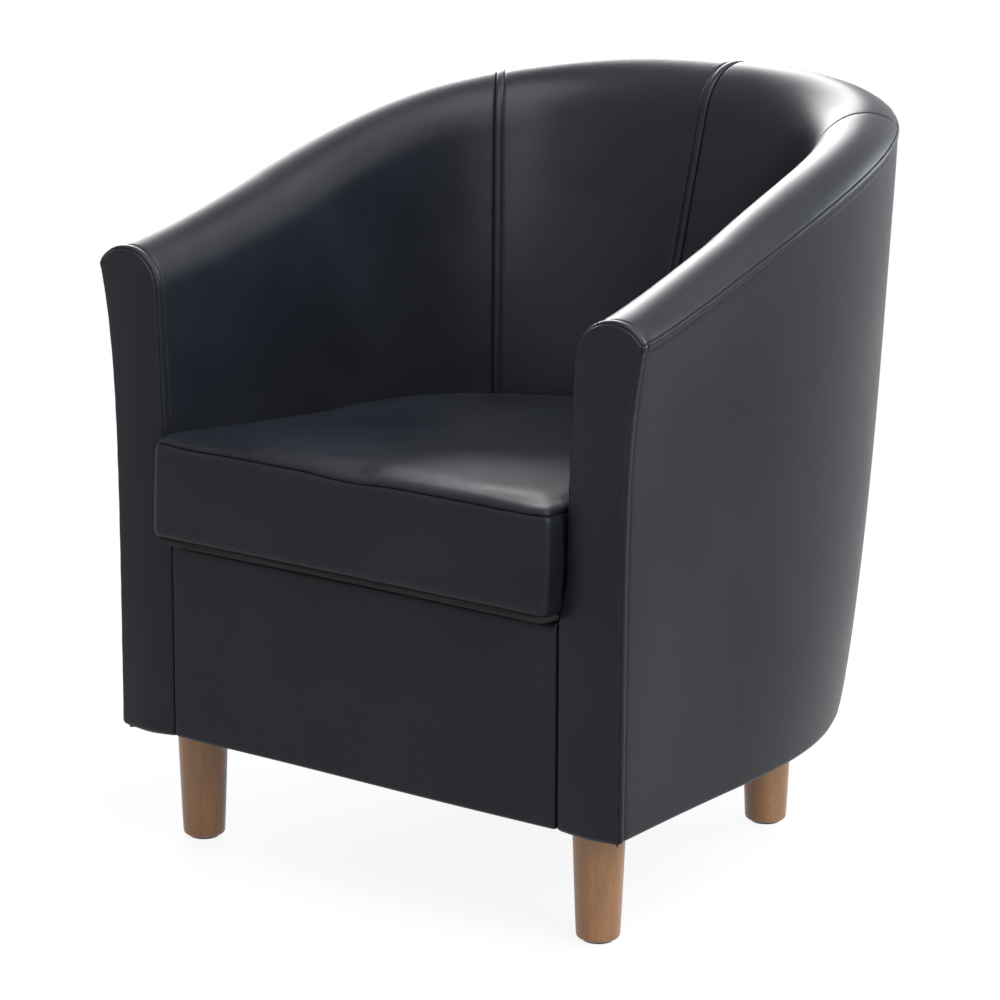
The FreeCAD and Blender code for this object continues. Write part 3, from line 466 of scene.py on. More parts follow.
for side, name in ((-1, "left"), (1, "right")):
    flat = patch(*arm_front_outline(PAD_INSET, floor_z + PAD_INSET), edge_first(24), edge_first(70))
    layers = [np.stack([side * flat[..., 0], np.full(flat.shape[:2], front_y + depth), flat[..., 1]], -1)
              for depth in (FOAM_DEPTH - PAD_RAISED, PAD_DEPTH + FACING_PAD)]
    pad_piece = mesh_piece(f"arm_front_foam_{name}", *closed_slab(*layers), FOAM, "root", "foam")
    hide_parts(f"facing_foam_{name}")

pad_low, pad_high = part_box("front_foam")
ends = np.array([pad_low.x + PAD_INSET, pad_high.x - PAD_INSET])
across, up = np.linspace(0, 1, 40), np.linspace(0, 1, 24)
shoulder = PAD_INSET * np.clip((up - 0.8) / 0.2, 0, 1) ** 2
layers = [np.stack(np.broadcast_arrays(ends[0] + (ends[1] - ends[0]) * across[None],
                                       (depth + lean * shoulder)[:, None],
                                       (pad_low.z + (pad_high.z - pad_low.z) * up)[:, None]), -1)
          for depth, lean in ((pad_low.y + PAD_INSET / 2, 1.0), (pad_high.y, 0.0))]
front_pad = mesh_piece("under_panel_foam", *closed_slab(*layers), FOAM, "root", "foam")
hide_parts("front_foam")


# Leather-look covers: black coated cloth with a fine pebbled grain, sewn with turned seams. Beside most
# seams runs a line of top-stitching, which draws the cover down, and the strip between stands proud.
TINT_DEEP, TINT_WORN = (0.0085, 0.0095, 0.0140), (0.0120, 0.0134, 0.0190)
# Near-black painted shade, laid into the base colour along the seam and stitch grooves.
SEAM_SHADE_TINT = (0.0008, 0.0008, 0.0010)
# Distances from a seam of the grid's rows beside it, with the stitches on the row numbered STITCH_ROW.
STITCH_AT, STITCH_ROW = 0.0095, 12
SEWN_STEPS = np.array([0, 0.4, 0.8, 1.3, 1.9, 2.6, 3.6, 4.8, 6.2, 7.4, 8.3, 8.9, 9.5, 10.1, 10.8, 12, 14,
                       17, 21, 27]) / 1000
PLAIN_STEPS = np.array([0, 0.01])
# Depth and width of the groove at a seam and of the one at its stitches, the swell of the strip between
# them, and how deep and how far the cover is drawn down past the stitches and beside a plain seam.
GROOVE, STITCH_GROOVE = (0.0015, 0.0013), (0.0011, 0.0012)
STRIP_SWELL = 0.0007
PAST_STITCHES, PAST_SEAM = (0.0006, 0.007), (0.0005, 0.006)
# Widths of the painted shade along a seam's groove and along the stitches' groove.
SEAM_SHADE_WIDTH, STITCH_SHADE_WIDTH = 0.0010, 0.0007
# Rounding of the outer seam, of the front panel's side seams, and of the seams round the arm fronts. Two
# covers share the last one, so each stops where its half of the round ends.
RIM_ROUND, PANEL_SIDE_ROUND, CORNER_ROUND = 0.0022, 0.003, 0.004
HALF_CORNER = 1 - math.sqrt(0.5)
CORNER_BACK = CORNER_ROUND * HALF_CORNER
FRONT_WAY = 1 - CORNER_BACK * SIDE_SHARE / SIDE_RUN
# Lengths and heights of the gathers' waves.
PUCKERS, PUCKER_HEIGHT = ((0.0062, 1.0), (0.0041, 0.8), (0.0105, 0.6)), 0.00010


# Numbers of a Mix node's colour sockets.
MIX_A, MIX_B, MIX_RESULT = 6, 7, 2


def black_leather():
    """Pebbled grain from two sizes of cell, creases from noise, and painted shade in the seam and stitch
    grooves, which are also duller.
    """
    material, shader = new_material("black_leather", {"Specular IOR Level": 0.16, "IOR": 1.5})
    where = coordinates(material, (1.0, 1.0, 1.0))
    cells = add(material, "ShaderNodeTexVoronoi", {"Vector": where, "Scale": 620.0, "Randomness": 0.9,
                                                   "Smoothness": 0.35}, feature="SMOOTH_F1")
    fine = add(material, "ShaderNodeTexNoise", {"Vector": where, "Scale": 1500.0, "Detail": 3.0})
    creases = add(material, "ShaderNodeTexNoise", {
        "Vector": coordinates(material, (42.0, 42.0, 42.0)), "Scale": 1.0, "Detail": 4.0,
        "Roughness": 0.55, "Distortion": 0.6})
    broad = add(material, "ShaderNodeTexNoise", {"Vector": where, "Scale": 9.0, "Detail": 3.0})
    tint = ramp(material, broad.outputs["Fac"], [(0.35, TINT_DEEP), (0.7, TINT_WORN)])
    gloss = add(material, "ShaderNodeMapRange", {"Value": broad.outputs["Fac"], "From Min": 0.3,
                                                 "From Max": 0.7, "To Min": 0.36, "To Max": 0.42})
    # The seam attribute carries the painted shade of the seam and stitch grooves; it darkens the colour and
    # dulls the gloss there.
    line = add(material, "ShaderNodeAttribute", attribute_name="seam").outputs["Fac"]
    darker = add(material, "ShaderNodeMix", {"Factor": line, MIX_A: tint, MIX_B: (*SEAM_SHADE_TINT, 1.0)},
                 data_type="RGBA")
    rougher = add(material, "ShaderNodeMath", {0: line, 1: 0.55}, operation="MULTIPLY")
    rough = add(material, "ShaderNodeMath", {0: gloss.outputs["Result"], 1: rougher.outputs[0]},
                operation="ADD", use_clamp=True)
    link(material, darker.outputs[MIX_RESULT], shader.inputs["Base Color"])
    link(material, rough.outputs[0], shader.inputs["Roughness"])
    first = bumped(material, shader, cells.outputs["Distance"], 0.30, 0.00022)
    second = bumped(material, shader, fine.outputs["Fac"], 0.25, 0.00008, first)
    bumped(material, shader, creases.outputs["Fac"], 0.16, 0.0007, second)
    return material


def thread_finish():
    material, shader = new_material("bonded_thread", {"Base Color": (0.006, 0.006, 0.007, 1.0),
                                                      "Roughness": 0.5, "Specular IOR Level": 0.35})
    twist = add(material, "ShaderNodeTexNoise", {"Vector": coordinates(material, (1.0, 1.0, 1.0)),
                                                 "Scale": 2500.0, "Detail": 2.0})
    bumped(material, shader, twist.outputs["Fac"], 0.5, 0.0002)
    return material


COVER = black_leather()
THREAD = thread_finish()


def read_between(values, at):
    """Values of a grid at fractional rows, one set of rows for each column, by a Catmull-Rom curve."""
    rows = len(values)
    base = np.clip(np.floor(at).astype(int), 0, rows - 2)
    part = (at - base)[..., None]
    p = [np.take_along_axis(values, np.clip(base + step, 0, rows - 1)[..., None], axis=0)
         for step in (-1, 0, 1, 2)]
    p[0] = np.where((base == 0)[..., None], 2 * p[1] - p[2], p[0])
    p[3] = np.where((base == rows - 2)[..., None], 2 * p[2] - p[1], p[3])
    return p[1] + 0.5 * part * (p[2] - p[0] + part * (2 * p[0] - 5 * p[1] + 4 * p[2] - p[3]
                                                     + part * (3 * (p[1] - p[2]) + p[3] - p[0])))


def spaced(grid, first, last, pitch):
    """The grid with new rows: at fixed distances from its first and last row, and evenly between."""
    steps = np.linalg.norm(np.diff(grid, axis=0), axis=2)
    run = np.concatenate([np.zeros((1, grid.shape[1])), np.cumsum(steps, axis=0)])
    total = run[-1]
    inner = max(2, int(round((total.max() - first[-1] - last[-1]) / pitch)))
    middle = np.linspace(0, 1, inner + 1)[1:-1, None]
    places = np.concatenate([np.repeat(first[:, None], len(total), 1),
                             first[-1] + (total - first[-1] - last[-1]) * middle,
                             total - last[::-1, None]])
    rows = np.arange(len(grid), dtype=float)
    at = np.stack([np.interp(places[:, column], run[:, column], rows) for column in range(len(total))], 1)
    return read_between(grid, at)


def reaches(grid):
    """Distance of each point from the first and from the last row, along the grid's columns."""
    steps = np.linalg.norm(np.diff(grid, axis=0), axis=2)
    run = np.concatenate([np.zeros((1, grid.shape[1])), np.cumsum(steps, axis=0)])
    return run, run[-1] - run


def facing_out(grid, towards):
    """Unit normals of a grid of points, all on the side that the given directions point to."""
    normal = np.cross(np.gradient(grid, axis=0), np.gradient(grid, axis=1))
    normal /= np.maximum(np.linalg.norm(normal, axis=2, keepdims=True), 1e-12)
    return normal * np.sign((normal * towards).sum(2, keepdims=True).mean())


def seam_shape(distance, stitched, corner):
    """Height beside a seam, and painted shade for the shadow in its groove and in its stitches' groove. A
    corner seam falls away in an eighth of a circle, and every seam ends in a narrow groove. The stitched
    strip is a half wave, and its stitches lie in a fine groove, past which the cover swells back up."""
    height = -GROOVE[0] * np.exp(-(distance / GROOVE[1]) ** 2)
    if corner:
        inward = 1 - np.clip(distance / corner + HALF_CORNER, 0, 1)
        height = height - corner * (1 - np.sqrt(1 - inward ** 2))
    dark = np.exp(-(distance / SEAM_SHADE_WIDTH) ** 4)
    if stitched:
        past = distance - STITCH_AT
        strip = np.clip(distance / STITCH_AT, 0, 1)
        height = height + STRIP_SWELL * np.sin(np.pi * strip) ** 2
        height = height - STITCH_GROOVE[0] * np.exp(-(past / STITCH_GROOVE[1]) ** 2)
        height = height - PAST_STITCHES[0] * np.exp(-np.clip(past, 0, 1) / PAST_STITCHES[1]) * (past > 0)
        dark = dark + 0.85 * np.exp(-(past / STITCH_SHADE_WIDTH) ** 4)
    else:
        height = height - PAST_SEAM[0] * np.exp(-distance / PAST_SEAM[1])
    return height, dark


def puckers(run, distance, seed):
    """Shallow gathers along a seam: three waves of unlike length that fade away from it."""
    phase = np.random.default_rng(seed).uniform(0, 2 * np.pi, len(PUCKERS))
    wave = sum(high * np.sin(run / long + start) for (long, high), start in zip(PUCKERS, phase))
    return PUCKER_HEIGHT * wave * np.exp(-np.clip(distance - 0.003, 0, 1) / 0.014) * (distance < 0.06)


def nearest(*distances):
    return np.minimum.reduce(distances)


STITCH_PITCH, STITCH_LONG, THREAD_RADIUS, THREAD_RAISED = 0.0042, 0.0033, 0.00036, 0.00018


def stitches(name, rows):
    """Top-stitching: lock stitches as short rounded bars of thread, set end to end along rows of
    points, each row with the directions that the cover faces there. A bar is six rings of six."""
    ring = np.linspace(0, 2 * np.pi, 7)[:-1]
    swell = np.array([0.25, 0.8, 1.0, 1.0, 0.8, 0.25])
    along = np.array([-0.5, -0.42, -0.2, 0.2, 0.42, 0.5]) * STITCH_LONG
    bar = np.stack([np.repeat(along, 6), THREAD_RADIUS * np.outer(swell, np.cos(ring)).ravel(),
                    THREAD_RADIUS * np.outer(swell, np.sin(ring)).ravel()], -1)
    bar_faces = np.concatenate([grid_faces(6, 6, around=True), [[0, 1, 2, 3], [0, 3, 4, 5]],
                                [[33, 32, 31, 30], [35, 34, 33, 30]]])
    points = []
    for line, facing in rows:
        length = lengths(line)
        at = np.arange(STITCH_PITCH, length[-1] - STITCH_PITCH, STITCH_PITCH)
        centre, up = along_line(at, length, line), along_line(at, length, facing)
        ahead = along_line(at + 0.001, length, line) - centre
        ahead /= np.linalg.norm(ahead, axis=1, keepdims=True)
        beside = np.cross(up, ahead)
        beside /= np.linalg.norm(beside, axis=1, keepdims=True)
        up = np.cross(ahead, beside)
        points.append((centre + up * THREAD_RAISED)[:, None] + bar[None, :, :1] * ahead[:, None]
                      + bar[None, :, 1:2] * beside[:, None] + bar[None, :, 2:] * up[:, None])
    points = np.concatenate(points)
    faces = bar_faces[None] + len(bar) * np.arange(len(points))[:, None, None]
    mesh_piece(name, points.reshape(-1, 3), faces.reshape(-1, 4), THREAD, "root", "black_leather")


def mark_seam_shade(piece, dark):
    """The painted shade of the seam and stitch grooves as an attribute, the same on a cover's outer and inner
    face.
    """
    seam = piece.data.attributes.new("seam", "FLOAT", "POINT")
    seam.data.foreach_set("value", np.tile(np.clip(dark, 0, 1).ravel(), 2).astype(np.float32))


def cover_piece(name, outer, facing, dark, replaced):
    """A sewn cover with its thickness, in place of one CAD cover."""
    points, faces = closed_slab(outer, outer - facing * LEATHER)
    made = mesh_piece(name, points, faces, COVER, "root", "black_leather")
    mark_seam_shade(made, dark)
    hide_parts(replaced)


# Inside covers: two arm panels and two back panels go over the rolled edge from the outer seam, down
# the inside and under the cushion. Three seams join them, each stitched on one side only.
COVER_FOOT = 0.0030
SKIN_PITCH = 0.008
FADE = 0.05


def inside_panel(name, start, end, stitched, corner, replaced, seed):
    """A panel between two ways round the wrap, with rows of points for its stitches. stitched and
    corner say how each end is sewn. Low waves of loose leather fade away towards its seams."""
    way = np.linspace(start, end, 160)
    share = 1 - np.abs(way)
    foot = seat_level(crest(share)[2]) - COVER_FOOT
    run = inner_run(share, 0.0, foot)
    base = placed(way[:, None], run[..., 0], run[..., 1])
    base = spaced(base, SEWN_STEPS, SEWN_STEPS, SKIN_PITCH)
    base = spaced(base.transpose(1, 0, 2), SEWN_STEPS, PLAIN_STEPS, SKIN_PITCH).transpose(1, 0, 2)
    middle = np.array([0.0, front_y + SIDE_RUN, 2.0])
    facing = facing_out(base, middle - base)
    ends = reaches(base)
    from_seam = reaches(base.transpose(1, 0, 2))[0].T
    height, dark = seam_shape(from_seam, False, RIM_ROUND)
    height = height + puckers(ends[0], from_seam, seed)
    for index in range(2):
        more, line = seam_shape(ends[index], stitched[index], corner[index])
        height, dark = height + more + puckers(from_seam, ends[index], seed + 1 + index), dark + line
    waves = 0.0009 * np.sin(ends[0] / 0.071 + seed) * np.sin(from_seam / 0.083 + 2.1 * seed)
    fade = np.clip(nearest(ends[0], ends[1], from_seam) / FADE, 0, 1)
    outer = base + facing * (height + waves * fade)[..., None]
    cover_piece(name, outer, facing, dark, replaced)
    return [(outer[row], facing[row]) for row, sewn in zip((STITCH_ROW, -1 - STITCH_ROW), stitched) if sewn]


seam_way = 1 - SEAM_SHARE
stitched_rows = []
for seed, (side, start, end, stitched, corner) in enumerate((
        ("arm_left", -FRONT_WAY, -seam_way, (True, False), (CORNER_ROUND, 0)),
        ("back_left", -seam_way, 0.0, (True, True), (0, 0)),
        ("back_right", 0.0, seam_way, (False, False), (0, 0)),
        ("arm_right", seam_way, FRONT_WAY, (False, True), (0, CORNER_ROUND))), start=1):
    replaced = side.replace("_", "_cover_")
    stitched_rows += inside_panel(f"inside_{side}", start, end, stitched, corner, replaced, seed)
stitches("inside_topstitch", stitched_rows)


# Outside cover: one plain piece round the sides and back. It is stitched beside the outer seam and
# beside both facings, and its lower edge is turned under the frame and stapled.
HEM, HEM_ROUND = 0.03, 0.004
SIDE_HEM_STEPS = np.array([0, 10, 20, 24, 26, 27, 28, 29, 30, 31, 32, 34, 37, 42, 50]) / 1000
# How deep the stitching may draw this cover down over the fibreboard, and where it may go deeper.
BOARD_UNDER, BOARD_EDGE = 0.0009, 0.006
way = np.linspace(-FRONT_WAY, FRONT_WAY, 420)
share = 1 - np.abs(way)
run = outer_run(share, 0.0, np.zeros(len(way)))
bend = np.linspace(0, np.pi / 2, 8)
low = run[:, :1, 0]
hem_reach = np.concatenate([low - HEM + (HEM - HEM_ROUND) * np.linspace(0, 1, 8)[None, :-1],
                            low - HEM_ROUND + HEM_ROUND * np.sin(bend)[None]], 1)
hem_height = np.concatenate([np.zeros((len(way), 7)),
                             np.repeat(HEM_ROUND * (1 - np.cos(bend))[None], len(way), 0)], 1)
hem = np.stack([hem_reach, floor_z + hem_height], -1)
side = run[:, 6:]
side[..., 1] = np.maximum(side[..., 1], floor_z + HEM_ROUND)
run = np.concatenate([hem, side], axis=1)
base = placed(way[:, None], run[..., 0], run[..., 1])
base = spaced(base, SEWN_STEPS, SEWN_STEPS, SKIN_PITCH)
base = spaced(base.transpose(1, 0, 2), SIDE_HEM_STEPS, SEWN_STEPS, 0.009).transpose(1, 0, 2)
facing = facing_out(base, base - np.array([0.0, front_y + SIDE_RUN, 0.4]))
ends = reaches(base)
from_hem, from_seam = (values.T for values in reaches(base.transpose(1, 0, 2)))
height, dark = seam_shape(from_seam, True, RIM_ROUND)
height = height + puckers(ends[0], from_seam, 11)
for index in range(2):
    more, line = seam_shape(ends[index], True, CORNER_ROUND)
    height, dark = height + more + puckers(from_seam, ends[index], 12 + index), dark + line
over_board = nearest(ends[0], ends[1], from_seam) > BOARD_EDGE
height = np.where(over_board, np.maximum(height, -BOARD_UNDER), height)
waves = 0.0008 * np.sin(ends[0] / 0.093) * np.sin(from_seam / 0.077 + 1.0)
fade = np.clip(nearest(ends[0], ends[1], from_seam, from_hem - HEM) / FADE, 0, 1)
outer = base + facing * (height + waves * fade)[..., None]
cover_piece("outside_leather", outer, facing, dark, "outside_cover")
above_hem = slice(8, None)
rows = [(outer[row, above_hem], facing[row, above_hem]) for row in (STITCH_ROW, -1 - STITCH_ROW)]
stitches("outside_topstitch", rows + [(outer[:, -1 - STITCH_ROW], facing[:, -1 - STITCH_ROW])])


# Arm facings: flat leather fronts in the keyhole outline of the arm, softly filled by the pad behind.
# Their lower edge is turned under the frame.
def turned_under(columns, first_y, floor):
    """Rows from under the body forward to its front edge, rounded there, as (depth, height) pairs."""
    turn = np.linspace(0, np.pi / 2, 7)
    flat = np.linspace(first_y + HEM, first_y + HEM_ROUND, 6)[:-1]
    depth = np.concatenate([flat, first_y + HEM_ROUND * (1 - np.sin(turn))])
    height = np.concatenate([np.full(5, floor), floor + HEM_ROUND * (1 - np.cos(turn))])
    return [np.repeat(values[:, None], columns, 1) for values in (depth, height)]


FRONT_HEM_STEPS = np.array([0, 10, 20, 25, 28, 30, 32, 36, 44]) / 1000
# How far the hem's outer end is tucked in beside the outside cover, and how the pad fills the facing.
TUCK, TUCK_RUN = 0.008, 0.004
FILLED, FILLED_FROM = 0.0022, 0.03
across_steps, up_steps = np.linspace(0, 1, 90), np.linspace(0, 1, 260)
for side, name in ((-1, "left"), (1, "right")):
    flat = patch(*arm_front_outline(CORNER_BACK, floor_z, CORNER_BACK), across_steps, up_steps)
    climb = np.clip((HEM_ROUND - (flat[..., 1] - floor_z)) / HEM_ROUND, 0, 1)
    depth = front_y + HEM_ROUND * (1 - np.sqrt(1 - climb ** 2))
    under_depth, under_height = turned_under(flat.shape[1], front_y, floor_z)
    across = np.concatenate([np.repeat(flat[:1, :, 0], len(under_depth) - 1, 0), flat[..., 0]])
    depth = np.concatenate([under_depth[:-1], depth])
    height = np.concatenate([under_height[:-1], np.maximum(flat[..., 1], floor_z)])
    keep = np.concatenate([np.ones(len(under_depth) - 1, bool), flat[:, 0, 1] > floor_z + HEM_ROUND])
    tucked = TUCK * np.clip((depth - front_y - HEM_ROUND) / TUCK_RUN, 0, 1) * across_steps ** 4
    base = np.stack([side * (across - tucked), depth, height], -1)[keep]
    base = spaced(base, FRONT_HEM_STEPS, SEWN_STEPS, SKIN_PITCH)
    base = spaced(base.transpose(1, 0, 2), SEWN_STEPS, SEWN_STEPS, 0.006).transpose(1, 0, 2)
    facing = facing_out(base, np.array([0.0, -1.0, 0.0]))
    facing = facing * np.where(facing[..., 1:2] > 1e-6, -1, 1)  # the patch folds over at its top corners
    ends = [values.T for values in reaches(base.transpose(1, 0, 2))]
    from_top = reaches(base)[1]
    inside = nearest(ends[0], ends[1], from_top)
    height, dark = seam_shape(inside, False, CORNER_ROUND)
    for index, (distance, run) in enumerate(((ends[0], from_top), (ends[1], from_top), (from_top, ends[0]))):
        height = height + puckers(run, distance, 30 + index + side)
    filled = np.clip(inside / FILLED_FROM, 0, 1)
    height = height + FILLED * filled ** 0.7
    height = height + 0.0006 * np.sin(base[..., 2] / 0.062 + side) * filled
    outer = base + facing * height[..., None]
    cover_piece(f"arm_front_{name}", outer, facing, dark, f"facing_{name}")


# Front panel: covers the rail from under the body, rolls over it and becomes the leather lip of the
# deck under the cushion.
PANEL_PROUD, PANEL_ROUND, LIP = 0.0015, 0.009, 0.0905
across = np.linspace(-PANEL_EDGE + SLACK, PANEL_EDGE - SLACK, 200)
panel_y = front_y - PANEL_PROUD
under_depth, under_height = turned_under(1, panel_y, floor_z)
turn = np.linspace(0, np.pi / 2, 12)
section = np.concatenate([
    np.concatenate([under_depth, under_height], 1),
    np.stack([np.full(60, panel_y), np.linspace(floor_z + HEM_ROUND, PANEL_TOP - PANEL_ROUND, 61)[1:]], -1),
    np.stack([panel_y + PANEL_ROUND * (1 - np.cos(turn[1:])),
              PANEL_TOP - PANEL_ROUND * (1 - np.sin(turn[1:]))], -1),
    np.stack([np.linspace(panel_y + PANEL_ROUND, front_y + LIP, 21)[1:],
              seat_level(np.linspace(PANEL_ROUND - PANEL_PROUD, LIP, 21)[1:])
              + SEAT_FALL * (PANEL_ROUND - PANEL_PROUD) * np.linspace(1, 0, 20)], -1)])
base = np.stack(np.broadcast_arrays(across[None], section[:, :1], section[:, 1:]), -1)
base = spaced(base, FRONT_HEM_STEPS, PLAIN_STEPS, 0.005)
base = spaced(base.transpose(1, 0, 2), SEWN_STEPS, SEWN_STEPS, SKIN_PITCH).transpose(1, 0, 2)
facing = facing_out(base, np.array([0.0, -1.0, 1.0]))
ends = [values.T for values in reaches(base.transpose(1, 0, 2))]
run = reaches(base)[0]
height, dark = np.zeros(base.shape[:2]), np.zeros(base.shape[:2])
for index in range(2):
    more, line = seam_shape(ends[index], False, PANEL_SIDE_ROUND)
    height, dark = height + more + puckers(run, ends[index], 41 + index), dark + line
fade = np.clip(nearest(ends[0], ends[1]) / 0.04, 0, 1)
height = height + 0.0007 * np.sin(base[..., 0] / 0.066) * np.sin(run / 0.05) * fade
outer = base + facing * height[..., None]
cover_piece("rail_panel", outer, facing, dark, "front_panel")


# Deck and dust cover: two D-shaped sheets, the black platform cloth stretched over the webbing under the
# cushion, and thin felt stapled under the whole body.
def d_shape(start, reach, count=60):
    """Coons patch over a plan: a straight front at a depth, and a reach round the wrap behind it."""
    way = np.linspace(-1, 1, 1201)
    line = placed(way, reach(1 - np.abs(way)), 0.0)[:, :2]
    line = line[line[:, 1] > start]
    line = np.concatenate([[[line[0, 0], start]], line, [[line[-1, 0], start]]])
    third = int(len(line) * 0.34)
    step = np.linspace(0, 1, count)
    front = np.stack([np.linspace(line[0, 0], line[-1, 0], 50), np.full(50, start)], -1)
    return patch(front, line[:third + 1], line[third:-third], line[-third - 1:][::-1], step, step)


def felt():
    material, shader = new_material("spunbonded_felt", {"Roughness": 0.95, "Specular IOR Level": 0.1})
    fibres = add(material, "ShaderNodeTexNoise", {
        "Vector": coordinates(material, (500.0, 500.0, 500.0)), "Scale": 1.0, "Detail": 4.0,
        "Distortion": 2.0})
    colour = ramp(material, fibres.outputs["Fac"], [(0.35, (0.008, 0.008, 0.009)),
                                                    (0.7, (0.025, 0.025, 0.027))])
    link(material, colour, shader.inputs["Base Color"])
    bumped(material, shader, fibres.outputs["Fac"], 0.4, 0.0003)
    return material


PLATFORM_CLOTH = woven("platform_cloth", (0.006, 0.006, 0.007), (0.022, 0.022, 0.024), 0.0011, 0.85)
DECK_THICK, FELT_THICK, DECK_GAP = 0.0009, 0.0007, 0.001
deck_low, deck_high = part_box("deck_cloth")
widen = deck_high.x / (SEAT_EDGE - DECK_GAP)
plan = d_shape(deck_low.y, lambda share: plan_reach(share, SEAT) * widen - DECK_GAP)
plan = np.stack([plan[..., 0], np.minimum(plan[..., 1], deck_high.y)], -1)
behind = plan[..., 1] - deck_low.y
fall = (deck_high.z - deck_low.z - DECK_GAP) / (deck_high.y - deck_low.y)
dent = 0.0008 * np.sin(plan[..., 0] / 0.0293) ** 2 * np.sin(plan[..., 1] / 0.0334) ** 2
layers = [np.concatenate([plan, (deck_high.z - fall * behind - dent - below)[..., None]], -1)
          for below in (0, DECK_THICK)]
deck = mesh_piece("platform_deck", *closed_slab(*layers), PLATFORM_CLOTH, "root", "deck_cloth")
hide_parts("deck_cloth")

dust_low, dust_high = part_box("dust_cover")
inset = plan_reach(np.zeros(1), BASE)[0] - dust_high.x
plan = d_shape(dust_low.y, lambda share: plan_reach(share, BASE) - inset)
plan = np.stack([plan[..., 0], np.minimum(plan[..., 1], dust_high.y)], -1)
layers = [np.concatenate([plan, np.full(plan.shape[:2] + (1,), dust_low.z + above)], -1)
          for above in (0, FELT_THICK)]
dust = mesh_piece("dust_felt", *closed_slab(*layers), felt(), "root", "dust_cloth")
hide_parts("dust_cover")


# Seat cushion: a boxed foam cushion with a sewn border and inset seams. Air pressure in a closed cloth
# gives it its crown, drawn-in seams and soft edges; the covers are then cut from that shape.
# Play beside the arms and behind, how far the cushion stands proud of the arm fronts, and its front
# corners' radius.
PLAY = (0.0025, 0.0145)
PROUD, CORNER = 0.029, 0.008
SEAT_REST = DECK_LEVEL + SLACK
# Levels of its two seams, and the crown's rise over the upper one, of which a soft roll takes the first
# part within a short way.
SEAM_LOW, SEAM_HIGH = 0.008, 0.102
CROWN, ROLL_RISE, ROLL_WAY = 0.013, 0.0062, 0.028
UNDER_WAY, BULGE = 0.014, 0.0010
MIDDLE = 0.225


def cushion_plan(count):
    """Closed plan loop of the cushion, as across and behind, from the middle of its front to the left:
    a straight front, two rounded corners, and the inside of the wrap less its play."""
    share = np.linspace(0, 1, 600)
    spot = placed(share - 1, plan_reach(share, SEAT) - between(PLAY, share), 0.0)
    edge = SEAT_EDGE - PLAY[0] - CORNER
    turn = np.linspace(0, np.pi / 2, 40)[1:]
    corner = np.stack([-edge - CORNER * np.sin(turn), CORNER * (1 - np.cos(turn)) - PROUD], -1)
    front = np.stack([np.linspace(0, -edge, 60), np.full(60, -PROUD)], -1)
    half = np.concatenate([front, corner, spot[:, :2] - np.array([0.0, front_y])])
    whole = np.concatenate([half, half[::-1][1:] * np.array([-1.0, 1.0])])
    length = lengths(whole)
    return along_line(np.arange(count) * length[-1] / count, length, whole)


def seated(points):
    """Points in the cushion's level frame, pitched and laid on the deck."""
    across, behind, height = points[..., 0], points[..., 1], points[..., 2]
    fall, run = math.sin(SEAT_PITCH), math.cos(SEAT_PITCH)
    return np.stack([across, front_y + behind * run + height * fall,
                     SEAT_REST - behind * fall + height * run], -1)


LOOP = 720
plan_loop = cushion_plan(LOOP)
plan_mid = np.array([0.0, MIDDLE])
hub = plan_loop - plan_mid
hub_reach = np.linalg.norm(hub, axis=1)
EVEN_INSET, LAST_RING = 0.03, 0.02


def raised(spot, height):
    """Rings in plan, each at its height."""
    return np.concatenate([spot, np.broadcast_to(height[:, None, None], spot.shape[:2] + (1,))], -1)


def panel_rings(inset, height_of):
    """Rings drawn in from the plan loop towards its middle, with heights from their inset: at an even
    distance beside the seam, then in proportion, down to the small last ring."""
    edge = EVEN_INSET / hub_reach[None]
    step = inset[:, None] - EVEN_INSET
    scale = np.where(step > 0, 1 - edge - step / step[-1] * (1 - LAST_RING - edge),
                     1 - inset[:, None] / hub_reach[None])
    return raised(plan_mid + hub[None] * scale[..., None], height_of(inset))


def crown_height(inset):
    """Height over the underside: quickly up from the seam in a soft roll, then slowly to the middle."""
    share = np.clip(inset / MIDDLE, 0, 1)
    roll = np.clip(inset / ROLL_WAY, 0, 1)
    return (SEAM_HIGH + ROLL_RISE * np.sqrt(1 - (1 - roll) ** 2)
            + (CROWN - ROLL_RISE) * np.sin(np.pi / 2 * share) ** 1.1)


def under_height(inset):
    """Height from the lower seam down to the flat underside, by a quarter circle."""
    drop = np.clip(inset / UNDER_WAY, 0, 1)
    return SEAM_LOW * (1 - np.sqrt(1 - (1 - drop) ** 2))


def border_rings(heights):
    """Rings up the border, which bulges between its two seams by a half wave."""
    out = BULGE * np.sin(np.pi * (heights - SEAM_LOW) / (SEAM_HIGH - SEAM_LOW))
    return raised(plan_mid + hub[None] * (1 + out[:, None] / hub_reach[None])[..., None], heights)


def closed_rings(rings):
    """Points and faces of a closed form of rings, capped at both ends."""
    count, around = rings.shape[:2]
    points = rings.reshape(-1, 3)
    faces = np.concatenate([grid_faces(count, around, around=True), cap(around, 0)[:, ::-1],
                            cap(around, (count - 1) * around)])
    return points, outwards(points, faces)


CLOTH_FRAMES = 20


